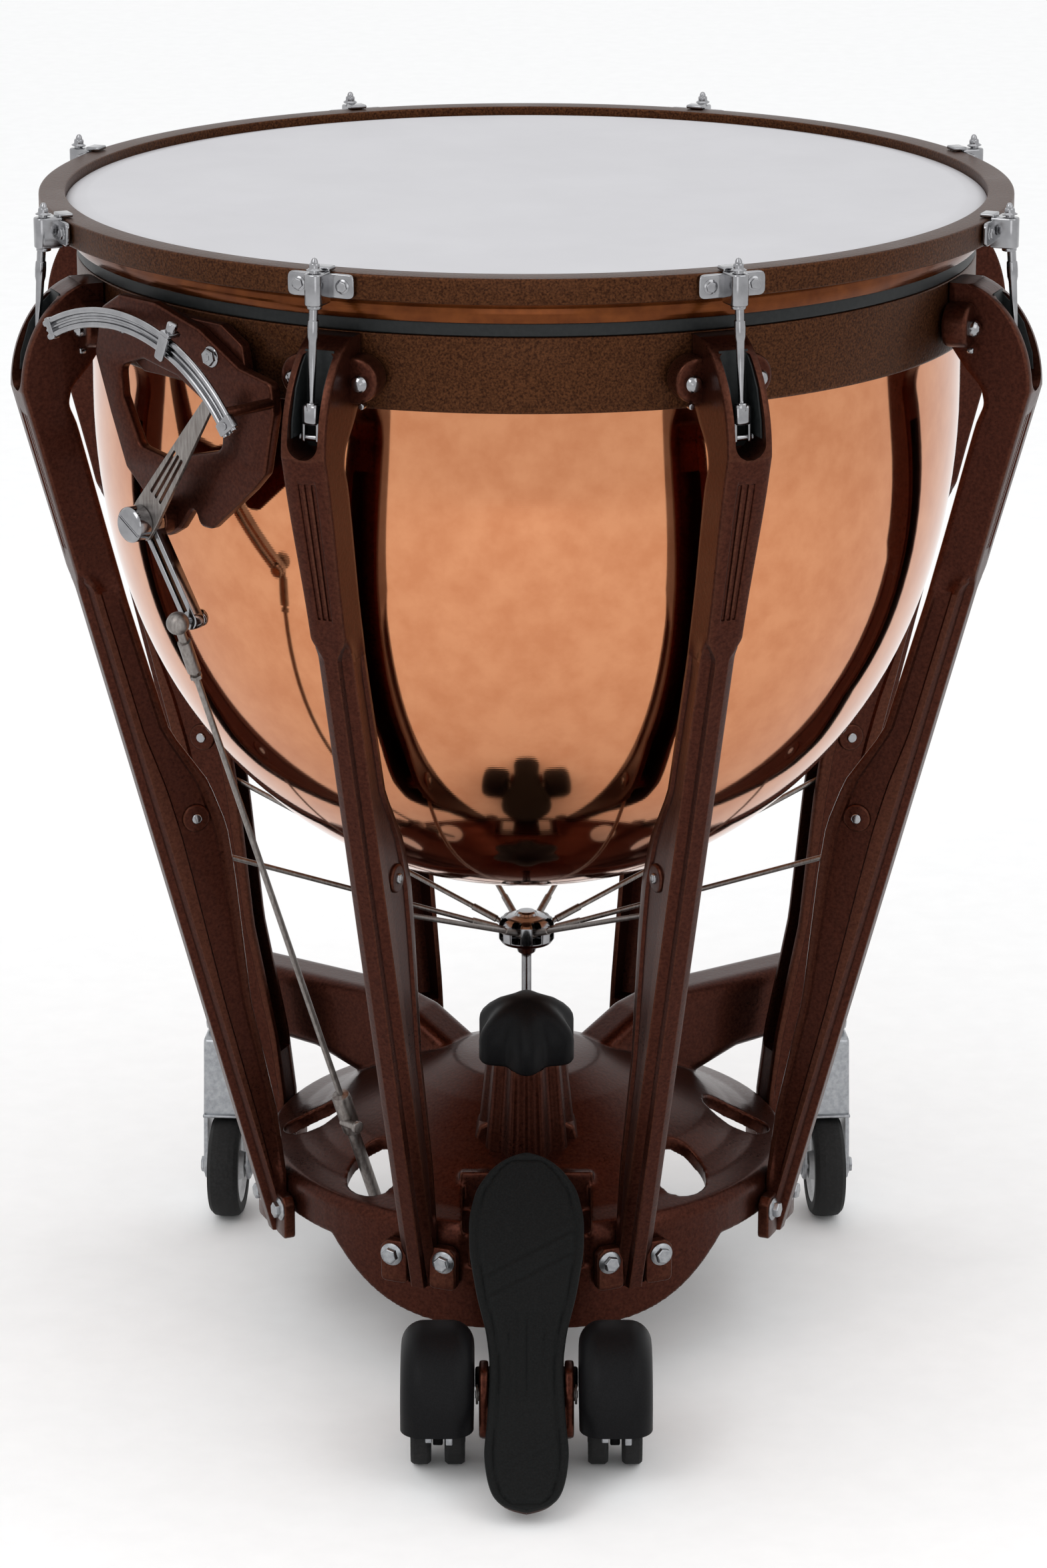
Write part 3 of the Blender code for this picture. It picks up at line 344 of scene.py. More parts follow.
def surface(name, dark, light, rough, metal, grain=300.0, bump=0.1, depth=0.0004, cells=0.0, wear=None,
            coat=0.0, stretch=(1.0, 1.0, 1.0), contrast=(0.35, 0.65), **fixed):
    """Painted, plated or moulded surface with fine mottling, varied gloss and relief.

    grain is the texture's scale per metre, cells adds hammered dimples of that scale, and wear is a
    colour that shows on exposed edges.
    """
    mat = bpy.data.materials.new(name)
    mat.use_nodes = True
    tree = mat.node_tree
    shader = tree.nodes["Principled BSDF"]
    where = add(tree, "ShaderNodeTexCoord").outputs["Object"]
    mapped = add(tree, "ShaderNodeMapping", {"Vector": where, "Scale": stretch}).outputs["Vector"]
    fine = add(tree, "ShaderNodeTexNoise", {"Vector": mapped, "Scale": grain, "Detail": 4.0,
                                            "Roughness": 0.6}).outputs["Fac"]
    broad = add(tree, "ShaderNodeTexNoise", {"Vector": where, "Scale": 14.0, "Detail": 3.0}).outputs["Fac"]
    colour = ramp(tree, fine, [(contrast[0], dark), (contrast[1], light)])
    if wear:
        edge = add(tree, "ShaderNodeNewGeometry").outputs["Pointiness"]
        mask = ramp(tree, edge, [(0.52, grey(0.0)), (0.60, grey(1.0))])
        broken = add(tree, "ShaderNodeMath", {0: mask, 1: fine}, operation="MULTIPLY").outputs[0]
        mix = add(tree, "ShaderNodeMix", data_type="RGBA")
        tree.links.new(broken, mix.inputs["Factor"])
        tree.links.new(colour, mix.inputs[6])
        mix.inputs[7].default_value = (*wear, 1.0)
        colour = mix.outputs[2]
    tree.links.new(colour, shader.inputs["Base Color"])
    mixed = add(tree, "ShaderNodeMath", {0: fine, 1: broad}, operation="ADD").outputs[0]
    gloss = ramp(tree, mixed, [(0.45, grey(rough[0])), (1.0, grey(rough[1]))])
    tree.links.new(gloss, shader.inputs["Roughness"])
    shader.inputs["Metallic"].default_value = metal
    shader.inputs["Coat Weight"].default_value = coat
    shader.inputs["Coat Roughness"].default_value = 0.12
    for key, value in fixed.items():
        shader.inputs[key.replace("_", " ")].default_value = value
    height = fine
    if cells:
        dimples = add(tree, "ShaderNodeTexVoronoi", {"Vector": mapped, "Scale": cells,
                                                     "Smoothness": 0.6}, feature="SMOOTH_F1")
        height = add(tree, "ShaderNodeMath", {0: dimples.outputs["Distance"], 1: fine},
                     operation="ADD").outputs[0]
    relief = add(tree, "ShaderNodeBump", {"Height": height, "Strength": bump, "Distance": depth})
    tree.links.new(relief.outputs["Normal"], shader.inputs["Normal"])
    return mat


def copper_surface():
    """Spun and polished copper: faint rings from spinning, cloudy lacquer, long soft patches of tone."""
    mat = surface("polished_copper", (0.53, 0.205, 0.092), (0.60, 0.255, 0.122), (0.03, 0.07), 1.0,
                  grain=40.0, bump=0.0, coat=0.15)
    tree = mat.node_tree
    where = add(tree, "ShaderNodeTexCoord").outputs["Object"]
    rings = add(tree, "ShaderNodeTexWave", {"Vector": where, "Scale": 190.0, "Distortion": 1.5,
                                            "Detail": 2.0, "Detail Scale": 0.4}, bands_direction="Z")
    soft = add(tree, "ShaderNodeTexNoise", {"Vector": where, "Scale": 5.0, "Detail": 1.0})
    total = add(tree, "ShaderNodeMath", {0: rings.outputs["Fac"], 1: 0.05, 2: soft.outputs["Fac"]},
                operation="MULTIPLY_ADD").outputs[0]
    relief = add(tree, "ShaderNodeBump", {"Height": total, "Strength": 0.06, "Distance": 0.0012})
    tree.links.new(relief.outputs["Normal"], tree.nodes["Principled BSDF"].inputs["Normal"])
    return mat


def make_materials():
    brown = dict(wear=(0.13, 0.050, 0.028), coat=0.03, Specular_IOR_Level=0.12)
    return {
        "hammertone": surface("hammertone_brown", (0.022, 0.0070, 0.0028), (0.082, 0.030, 0.0115),
                              (0.30, 0.44), 0.82, grain=620.0, bump=0.4, depth=0.0004, cells=450.0, **brown),
        "enamel": surface("brown_enamel", (0.030, 0.0076, 0.0042), (0.056, 0.0155, 0.0088), (0.20, 0.34),
                          0.80, grain=420.0, bump=0.16, depth=0.0004, cells=300.0, **brown),
        "copper": copper_surface(),
        "bronze": surface("bronze_band", (0.085, 0.020, 0.003), (0.135, 0.036, 0.0065), (0.12, 0.24), 0.85,
                          grain=60.0, bump=0.05, coat=0.12, Specular_IOR_Level=0.2),
        "film": surface("head_film", (0.455, 0.450, 0.470), (0.480, 0.475, 0.495), (0.38, 0.50), 0.0,
                        grain=12.0, bump=0.05, depth=0.0002),
        "chrome": surface("chrome", (0.25, 0.25, 0.26), (0.31, 0.31, 0.32), (0.05, 0.14), 1.0,
                          grain=90.0, bump=0.02, depth=0.0002),
        "steel": surface("grey_steel", (0.17, 0.15, 0.14), (0.27, 0.25, 0.235), (0.24, 0.40), 1.0,
                         grain=500.0, bump=0.12, depth=0.0002, stretch=(1.0, 1.0, 0.15)),
        "zinc": surface("zinc_plate", (0.26, 0.27, 0.285), (0.36, 0.37, 0.385), (0.18, 0.34), 1.0,
                        grain=240.0, bump=0.10, depth=0.0002),
        "plastic": surface("black_moulding", (0.0016, 0.0016, 0.0020), (0.0042, 0.0042, 0.0048),
                           (0.34, 0.48), 0.0, grain=900.0, bump=0.18, depth=0.0002, Specular_IOR_Level=0.11),
        # black rubber of the ring's gasket; also used for the painted shade sheets inside the strut slots
        "gasket": surface("black_gasket_and_slot_shade", (0.006, 0.0075, 0.008), (0.011, 0.0125, 0.013), (0.34, 0.50), 0.0,
                          grain=260.0, bump=0.12, depth=0.0003, Specular_IOR_Level=0.25),
        "rubber": surface("pedal_rubber", (0.0035, 0.0038, 0.0038), (0.0075, 0.008, 0.008), (0.50, 0.70), 0.0,
                          grain=700.0, bump=0.30, depth=0.0003, Specular_IOR_Level=0.10),
        "tyre": surface("tyre_rubber", (0.007, 0.007, 0.007), (0.014, 0.014, 0.014), (0.55, 0.75), 0.0,
                        grain=420.0, bump=0.25, depth=0.0003, Specular_IOR_Level=0.25),
        "wheel": surface("grey_wheel", (0.50, 0.51, 0.52), (0.60, 0.61, 0.62), (0.40, 0.55), 0.0,
                         grain=300.0, bump=0.10, depth=0.0002),
    }


MATERIALS = make_materials()


# ---------------------------------------------------------------- placing pieces
def dress(ob, look, sharp=38.0):
    ob.data.materials.clear()
    ob.data.materials.append(MATERIALS[look])
    ob.data.shade_smooth()
    ob.data.set_sharp_from_angle(angle=math.radians(sharp))


def place(ob, name, look, body, nodes=(), sharp=38.0):
    """Put a piece built round the drum's axis onto the frame and let it ride on a body."""
    dress(ob, look, sharp)
    ob.name = ob.data.name = name
    ob.location = AXIS
    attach(ob, body)
    if nodes:
        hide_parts(*nodes)
    return ob


def place_round(ob, name, look, bodies, node=None):
    """Stand eight copies of a piece, modelled along +X, at the struts' azimuths."""
    dress(ob, look)
    for i, az in enumerate(STRUT_AZ, 1):
        twin = linked(ob.data.copy(), f"{name}_{i}")
        twin.data.name = twin.name
        to_azimuth(twin, az).location = AXIS
        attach(twin, bodies.format(i))
        if node:
            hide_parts(f"{node}_{i}")
    bpy.data.objects.remove(ob, do_unlink=True)


# ---------------------------------------------------------------- bowl and hoops
def bowl_curve(offset):
    """(radius, z) from the shoulder to the lowest point, a superellipse moved inwards by offset."""
    depth, radius = BOWL_SHOULDER - BOWL_BOTTOM - offset, EDGE_R - offset
    points = []
    power = 2 / BOWL_POWER
    for i in range(CURVE_STEPS + 1):
        a = math.pi / 2 * i / CURVE_STEPS
        c = max(math.cos(a), 0.0) if i < CURVE_STEPS else 0.0
        points.append((radius * c ** power, BOWL_SHOULDER - depth * math.sin(a) ** power))
    return points


def make_bowl():
    lip = HEAD_Z - FILM - GAP
    outer = [(EDGE_R, BOWL_FLANGE_Z + BOWL_WALL), (RING_OUT - 1.5, BOWL_FLANGE_Z + BOWL_WALL),
             (RING_OUT - 1.5, BOWL_FLANGE_Z), (EDGE_R, BOWL_FLANGE_Z), *bowl_curve(0.0)]
    rolled = [(EDGE_R - BOWL_WALL, lip - 1.0), (EDGE_R - BOWL_WALL * 0.7, lip - 0.2),
              (EDGE_R - BOWL_WALL * 0.3, lip - 0.2), (EDGE_R, lip - 1.0)]
    inner = [*reversed(bowl_curve(BOWL_WALL)), *rolled]
    bowl = lathe([*reversed(outer), *reversed(inner)], ROUND)
    place(bowl, "bowl_shell", "copper", "frame", ["bowl"])


def make_hoops():
    ring = [(RING_OUT, RING_TOP), (RING_OUT, RING_BOTTOM), (RING_IN, RING_BOTTOM), (RING_IN, RING_TOP)]
    place(lathe(rounded(ring, [1.4, 2.6, 1.0, 0.5]), ROUND), "suspension_ring_skin", "hammertone", "frame",
          ["suspension_ring"])
    top, low = BOWL_FLANGE_Z - GAP, RING_TOP + GAP
    flange = BOWL_FLANGE_Z + BOWL_WALL + GAP
    gasket = [(RING_OUT - 0.3, flange), (RING_OUT - 0.3, low), (RING_IN, low), (RING_IN, top),
              (RING_OUT - 1.3, top), (RING_OUT - 1.3, flange)]
    place(lathe(rounded(gasket, [0.4, 1.4, 1.0, 0.3, 0.0, 0.0]), ROUND), "gasket_skin", "gasket", "frame",
          ["ring_gasket"])
    seat = HOOP_TOP - HOOP_H - GAP
    bulge = [(FLESH_OUT - 1.6 + 1.6 * math.sin(math.pi * k / 8),
              seat - 3.4 - (seat - 4.2 - FLESH_BOTTOM) * k / 8) for k in range(9)]
    flesh = [(FLESH_OUT + 7.0, seat), (FLESH_OUT + 7.0, seat - 2.6), *bulge, (FLESH_IN, FLESH_BOTTOM),
             (FLESH_IN, seat)]
    place(lathe(rounded(flesh, 0.7, steps=2), ROUND), "flesh_hoop_band", "bronze", "hoop",
          ["flesh_hoop"])
    low = HOOP_TOP - HOOP_H
    hoop = [(HOOP_OUT, HOOP_TOP), (HOOP_OUT, low), (HOOP_IN, low), (HOOP_IN, HOOP_TOP)]
    place(lathe(rounded(hoop, [2.0, 1.6, 0.8, 1.4]), ROUND), "counterhoop_skin", "hammertone", "hoop",
          ["counterhoop"])
    wall = HOOP_IN - GAP
    head = [(0.0, HEAD_Z - 0.25), (EDGE_R - 12.0, HEAD_Z - 0.25), (EDGE_R - 3.0, HEAD_Z - 0.05),
            (EDGE_R, HEAD_Z), (EDGE_R + 2.0, HEAD_Z - 0.3), (EDGE_R + 9.0, HEAD_Z - 1.6),
            (wall - 2.0, HEAD_Z - 2.3), (wall, HEAD_Z - 3.6), (wall, seat + 2 * GAP),
            (wall - FILM - 0.3, seat + 2 * GAP), (wall - FILM - 0.3, HEAD_Z - 3.8),
            (EDGE_R, HEAD_Z - FILM), (0.0, HEAD_Z - FILM - 0.2)]
    place(lathe(head, ROUND), "head_film_skin", "film", "frame", ["drumhead"])


# ---------------------------------------------------------------- struts
def outer_r(z):
    """Outer edge of a strut: an elliptic arch over the ring, then a straight lean."""
    if z > STRUT_OUT_Z:
        return 340.0 + 64.0 * math.sqrt(max(0.0, 1.0 - ((z - STRUT_OUT_Z) / 79.9) ** 2))
    return STRUT_OUT_R - STRUT_LEAN * (STRUT_OUT_Z - z)


def line_r(z):
    return STRUT_OUT_R - STRUT_LEAN * (STRUT_OUT_Z - z)


INNER_EDGE = [(83.0, 208.4), (132.0, 208.4), (185.0, 215.0), (280.0, 235.0), (385.0, 246.0), (425.0, 252.0),
              (462.0, 266.0), (505.0, 296.0), (610.0, line_r(610.0) - 33.0), (750.0, line_r(750.0) - 34.0),
              (764.0, 369.0), (777.0, 366.0), (792.0, 352.0), (809.0, 339.9), (853.0, 339.9)]
GRID = np.arange(60.0, 880.0, 1.0)
RAW = np.interp(GRID, *zip(*INNER_EDGE))
KERNEL = np.hanning(15) / np.hanning(15).sum()
INNER_SMOOTH = np.maximum(np.convolve(np.pad(RAW, 7, mode="edge"), KERNEL, mode="valid"), 208.4)


def ease(value, start, end):
    """0 before start, 1 after end, smooth between them; start may be above end."""
    t = min(1.0, max(0.0, (value - start) / (end - start)))
    return t * t * (3 - 2 * t)


SLOT_HALF, SLOT_LOW, SLOT_BACK = 11.5, 786.0, 372.5
FLUTE_TOP, FLUTE_LOW = 756.0, 652.0


def strut_ring(z):
    """One level of a strut: half of the outline as (across, radius), then mirrored."""
    ro, ri = outer_r(z), float(np.interp(z, GRID, INNER_SMOOTH))
    step = ease(z, STEP_TOP, STEP_LOW)
    half = (STRUT_HALF - 3.2 * ease(z, 760.0, STEP_TOP)) * (1 - step) + STRUT_HALF_LOW * step
    half -= 3.0 * ease(z, 110.0, 84.0)
    rib = half * (1 - step) + STRUT_RIB * step
    ledge = 5.5 * step
    corner = min(2.6, (ro - ri) * 0.2)
    slot = SLOT_HALF if z > SLOT_LOW else math.sqrt(max(0.0, SLOT_HALF ** 2 - (SLOT_LOW - z) ** 2))
    slot_on = slot > 1.0 and ro > SLOT_BACK
    sunk = ro - SLOT_BACK if slot_on else 0.0
    flute = 0.0 if z > FLUTE_TOP or z < FLUTE_LOW else 1.3
    panel = 0.5 * ease(z, FLUTE_LOW - 6.0, FLUTE_LOW) * ease(z, FLUTE_TOP + 3.0, FLUTE_TOP)
    spread = slot / 6.9 if slot_on else half / STRUT_HALF * 1.12
    across = [0.0, 1.0, 1.5, 3.2, 3.7, 5.6, 6.1, 6.9]
    sunken = [1, 1, 0, 0, 1, 1, 0, 0]
    points = [(t * spread if step < 0.5 else t * 0.6, ro - sunk - flute * s - panel * (t < 6.5))
              for t, s in zip(across, sunken)]
    points.append((points[-1][0] + 0.05, ro))
    edge = corner if step < 0.5 else 1.4
    points += [(rib - edge, ro), (rib - edge * 0.3, ro - edge * 0.3), (rib, ro - edge)]
    points += [(rib + 0.8 * step, ro - edge - 0.6 - ledge * 0.7),
               (half - 1.6 * step, ro - edge - 1.2 - ledge), (half, ro - edge - 2.4 - ledge)]
    recess = 2.2 * ease(z, 640.0, 600.0) * ease(z, 120.0, 150.0)
    inset = (ro - ri) * 0.24
    points += [(half, ro - ledge - inset), (half - recess, ro - ledge - inset - 1.6),
               (half - recess, ri + inset * 0.7 + 1.6), (half, ri + inset * 0.7)]
    points += [(half, ri + corner), (half - corner * 0.3, ri + corner * 0.3), (half - corner, ri)]
    groove = 8.5 if 172.0 < z < 742.0 else 7.6
    back = ro - 12.0 if 172.0 < z < 742.0 else ri + 0.6
    points += [(groove, ri), (groove - 0.2, back), (0.0, back)]
    mirrored = [(-t, r) for t, r in reversed(points[1:-1])]
    return [(r, t, z) for t, r in points + mirrored]


def make_struts():
    levels = {STRUT_TOP, STRUT_TOP - 0.6, STRUT_FOOT, STRUT_FOOT + 0.8}
    levels |= set(np.arange(760.0, 852.0, 2.5))
    levels |= {SLOT_LOW - SLOT_HALF * math.sin(math.radians(a)) for a in range(10, 91, 10)}
    levels |= set(np.arange(612.0, 646.0, 2.5)) | set(np.arange(90.0, 760.0, 11.0))
    for end in (FLUTE_TOP, FLUTE_LOW, 172.0, 742.0):
        levels |= {end - 0.4, end + 0.4}
    ordered = sorted(levels, reverse=True)
    body = loft([strut_ring(z) for z in ordered])
    parts = [body]
    for side in (-1, 1):
        parts.append(disc(16.6, 19.6, (RING_OUT + GAP + 10.4, side * 20.0, 823.0), "X", 3.4))
        lug = rounded([(-11.0, -17.0), (11.0, -17.0), (11.0, 12.0), (6.0, 17.0), (-11.0, 17.0)],
                      [5, 5, 4, 3, 1])
        lug = [(side * a, b) for a, b in lug]
        parts.append(move(plate(lug, 9.0, "YZ", edge=1.4), (RIM_R + GAP + 4.8, side * 20.0, 101.0)))
    parts.append(disc(11.0, 27.0, (PIN_R, 0, PIN_Z), "Y", 2.0))
    place_round(join(parts), "strut_casting", "enamel", "frame", "strut")
    bolts = []
    for side in (-1, 1):
        dome = [(0.0, 4.2), (2.6, 3.8), (4.8, 2.4), (6.2, 0.4), (6.2, -4.0), (0.0, -4.0)]
        head = lathe(rounded(dome, 0.6, False, 3), 32, "X")
        bolts.append(move(head, (RING_OUT + 24.0, side * 25.0, 822.0)))
        bolts.append(disc(2.2, 5.0, (RING_OUT + 21.5, side * 26.5, 806.0), "X", 0.8, 20))
    bolts.append(disc(4.0, 2 * STRUT_HALF_LOW + 3.6, (PIN_R, 0, PIN_Z), "Y", 1.0, 28))
    place_round(join(bolts), "strut_pins", "chrome", "frame")
    feet = [hex_bolt(6.4, 6.6, (RIM_R + 9.4, side * 21.5, 107.0), "X", 9.0) for side in (-1, 1)]
    place_round(join(feet), "foot_bolts", "zinc", "frame")
    # thin black sheets on the back wall and both sides of each strut's slot: painted shade for the dark
    # inside of the slot, not a part of the drum
    wall = [(SLOT_BACK - 0.6, 846.0), (SLOT_BACK + 0.6, 846.0), (SLOT_BACK + 1.2, 778.0),
            (SLOT_BACK - 0.6, 778.0)]
    shade_sheets = [plate(wall, 22.0, edge=0.4)]
    for side in (-1, 1):
        cheek = [(SLOT_BACK, 843.0), (380.0, 836.0), (390.0, 822.0), (397.0, 800.0), (398.0, 788.0),
                 (SLOT_BACK, 788.0)]
        shade_sheets.append(move(plate(cheek, 1.4, edge=0.4), (0, side * (SLOT_HALF - 0.9), 0)))
    place_round(join(shade_sheets), "slot_shade_sheets", "gasket", "frame")


# ---------------------------------------------------------------- rods, lugs, spider
def make_tension():
    seat = HOOP_TOP + 2.6 + GAP
    tip = [(0.0, 911.8), (1.4, 911.3), (2.3, 909.8), (2.6, 908.0), (3.4, 907.6), (3.7, 906.8), (3.7, 904.6)]
    nut = [(4.4, 904.0), (5.6, seat + 0.4), (5.6, seat), (3.3, seat)]
    swell = [(3.2, 869.0), (3.9, 868.2), (4.1, 863.0), (3.9, 857.5), (3.1, 854.0), (2.0, 813.0)]
    foot = [(2.4, 811.8), (4.6, 811.4), (5.0, 810.4), (5.0, 806.4), (4.6, 805.6), (0.0, 805.6)]
    shaft = lathe(tip + nut + swell + foot, 40)
    barrel = block((9.6, 13.0, 15.0), (0, 0, 803.4), 3.0, 3)
    cheeks = []
    for side in (-1, 1):
        outline = rounded([(-3.6, 783.4), (1.8, 783.4), (2.4, 800.0), (-3.6, 800.0)], [2.2, 2.2, 1, 1])
        cheeks.append(move(plate(outline, 2.4, edge=0.7), (0, side * 5.2, 0)))
    pin = disc(2.4, 18.6, (-1.4, 0, 787.0), "Y", 0.8)
    rings = [disc(2.9, 1.4, (-1.4, side * 8.1, 787.0), "Y", 0.5) for side in (-1, 1)]
    body = join([shaft, barrel, *cheeks, pin, *rings])
    turn(body, -ROD_LEAN, "Y", (0, 0, HOOP_TOP))
    place_round(move(body, (ROD_R, 0, 0)), "rod_with_clevis", "chrome", "hoop", "tension_rod")
    face = HOOP_OUT + GAP
    outline = [(-25.0, -8.6), (25.0, -8.6), (25.0, 8.6), (-25.0, 8.6)]
    base = move(plate(rounded(outline, 5.0), 3.2, "YZ", edge=0.9), (face + 1.7, 0, HOOP_TOP - 9.0))
    nose = rounded([(0.0, -6.4), (19.0, -6.4), (19.0, 6.4), (0.0, 6.4)], [0.0, 6.0, 6.0, 0.0], steps=8)
    core = move(plate(nose, 22.6, "XY", edge=1.4), (face + 0.6, 0, HOOP_TOP - 10.2))
    lip = block((11.0, 13.6, 3.0), (face - 2.6, 0, HOOP_TOP + 2.0), 1.0)
    screws = [hex_bolt(4.0, 2.6, (face + 3.2, side * 16.6, HOOP_TOP - 9.0), "X", 5.2) for side in (-1, 1)]
    collar = disc(5.4, 2.6, (ROD_R, 0, HOOP_TOP - 22.4), "Z", 0.8)
    place_round(join([base, core, lip, collar, *screws]), "lug_plate", "chrome", "hoop", "rod_lug")


def make_spider():
    inner, outer = Vector((14.0, 0.0, HUB_Z)), Vector((SPIDER_OUT_R, 0.0, SPIDER_OUT_Z))
    way = (outer - inner).normalized()
    length = (outer - inner).length
    wire = tube([tuple(inner + way * d) for d in (3.0, 12.0, 12.5, 34.0, 34.5, length - 4.0)], 2.1,
                [1.0, 1.0, 1.35, 1.35, 1.0, 1.0])
    eyes = [disc(4.5, 8.6, tuple(outer), "Y", 1.0, 32), disc(3.6, 6.8, tuple(inner), "Y", 0.8, 28)]
    place_round(join([wire, *eyes]), "pull_rod", "steel", "pull_{}", "spider_rod")
    profile = [(0.0, HUB_Z + 15.0), (6.5, HUB_Z + 15.0), (8.0, HUB_Z + 13.8), (9.0, HUB_Z + 11.8),
               (15.0, HUB_Z + 10.6), (HUB_R - 2.0, HUB_Z + 9.0), (HUB_R, HUB_Z + 6.4), (HUB_R, HUB_Z - 7.6),
               (HUB_R - 2.0, HUB_Z - 10.4), (HUB_R - 6.0, HUB_Z - 12.0), (8.5, HUB_Z - 14.6),
               (7.0, HUB_Z - 19.0),
               (4.2, HUB_Z - 21.0), (3.9, HUB_Z - 23.0), (3.9, 152.0), (0.0, 152.0)]
    hub = lathe(rounded(profile, 0.6, False, 2), 96)
    slots = []
    for az in STRUT_AZ:
        slots.append(to_azimuth(block((21.0, 7.6, 17.0), (18.5, 0, HUB_Z + 1.5), 1.2), az))
    hub = boolean(hub, slots, "DIFFERENCE")
    place(hub, "hub_star", "chrome", "hub", ["spider_hub"])


# ---------------------------------------------------------------- base
def make_base():
    outer = [(0.0, DOME_TOP), (30.0, DOME_TOP - 0.6), (58.0, DOME_TOP - 3.0), (88.0, DOME_TOP - 14.0),
             (120.0, 172.0), (146.0, 160.0), (166.0, 147.0), (184.0, 139.0), (203.0, 135.0), (RIM_R, 128.0),
             (RIM_R, RIM_BOTTOM)]
    outer = rounded(outer, [0, 0, 12, 12, 12, 12, 12, 12, 4, 4, 0], False)
    inner = [(RIM_R - BASE_WALL, RIM_BOTTOM), (RIM_R - BASE_WALL, 124.0), (181.0, 128.0), (161.0, 137.0),
             (141.0, 151.0), (116.0, 162.0), (82.0, 179.0), (54.0, DOME_TOP - 13.0), (0.0, DOME_TOP - 13.0)]
    dome = lathe(outer + inner, 96)
    apron = lathe([(RIM_R, RIM_BOTTOM + 5.0), (RIM_R, 40.0), (RIM_R - BASE_WALL, 40.0),
                   (RIM_R - BASE_WALL, RIM_BOTTOM + 5.0)], 128)
    lower = [(x, SKIRT_LOW + 56.0 * abs(x / 153.0) ** 4.2) for x in range(-156, 157, 6)]
    keep = plate([*lower, (156.0, 125.0), (-156.0, 125.0)], 140.0, edge=0.1, fineness=0)
    apron = boolean(apron, [move(keep, (0, -170.0, 0))], "INTERSECT")
    dome = boolean(dome, [apron])
    arm_side = [(60.0, 195.0), (100.0, 217.0), (140.0, 227.0), (ARM_R, 225.0), (ARM_R + 15.5, 217.0),
                (ARM_R + 15.5, 178.0), (ARM_R - 24.0, 168.0), (200.0, 165.0), (150.0, 150.0), (60.0, 178.0)]
    for side in (-1, 1):
        arm = plate(rounded(arm_side, 12.0), 43.0, edge=11.0, fineness=4)
        boss = disc(19.0, 8.0, (side * CASTER_X, CASTER_Y, 171.0), "Z", 1.0)
        dome = boolean(dome, [to_azimuth(arm, side * ARM_AZ), boss])
    dome = boolean(dome, [block((98.0, 120.0, 76.0), (0, -212.0, 138.0), 4.0)], "DIFFERENCE")
    dome = boolean(dome, [block((103.0, 8.0, 92.0), (0, -150.0, 112.0), 1.5)])
    neck_side = [(-148.0, 160.0), (-154.0, 120.0), (-200.0, 62.0), (-300.0, 45.0), (-352.0, 41.0),
                 (-356.0, 30.0), (-300.0, 28.0), (-200.0, 40.0), (-140.0, 90.0), (-140.0, 160.0)]
    dome = boolean(dome, [plate(rounded(neck_side, 8.0), 46.0, "YZ", edge=4.0)])
    for side in (-1, 1):
        wing = [(side * 43.0, -150.0), (side * 56.0, -150.0), (side * 56.0, -198.5), (side * 43.0, -202.0)]
        cheek = [(-371.0, 34.0), (-330.0, 30.5), (-322.0, 44.0), (-328.0, 77.0), (-340.0, 85.5),
                 (-358.0, 83.5), (-369.5, 68.0)]
        dome = boolean(dome, [
            move(plate(wing, 70.0, "XY", edge=1.5), (0, 0, 92.0)),
            block((32.0, 10.0, 16.0), (side * 36.0, -196.0, 64.0), 2.0),
            block((20.0, 34.0, 10.0), (side * 24.0, -346.0, 36.0), 2.0),
            move(plate(rounded(cheek, 8.0), 7.0, "YZ", edge=1.4), (side * 31.5, 0, 0))])
    holes = [disc(5.3, 100.0, PEDAL_PIVOT, "X", 0.1), disc(5.0, 80.0, (0, 0, DOME_TOP - 10.0), "Z", 0.1)]
    for side in (-1, 1):
        hole = disc(21.5, 80.0, (0, 0, 0), "Z", 0.5, 48)
        hole.data.transform(Matrix.Diagonal((1.0, 1.42, 1.0, 1.0)))
        holes.append(move(hole, (side * FRONT_WINDOW_AT, -FRONT_WINDOW_AT, WINDOW_Z)))
    for az in (-88.0, 88.0, -157.5, 157.5):
        hole = disc(WINDOW_R, 70.0, (0, 0, 0), "Z", 0.5, 48)
        hole.data.transform(Matrix.Diagonal((1.38, 1.0, 1.0, 1.0)))
        turn(hole, 16.0, "Y")
        holes.append(to_azimuth(move(hole, (WINDOW_AT, 0, WINDOW_Z)), az))
    dome = boolean(dome, holes, "DIFFERENCE")
    place(soften(dome, 1.5, 5), "base_skin", "enamel", "frame", ["base_casting"], 60.0)


def tilt_knob(ob):
    return turn(ob, KNOB_TILT, "X", (0, KNOB_Y, KNOB_Z))


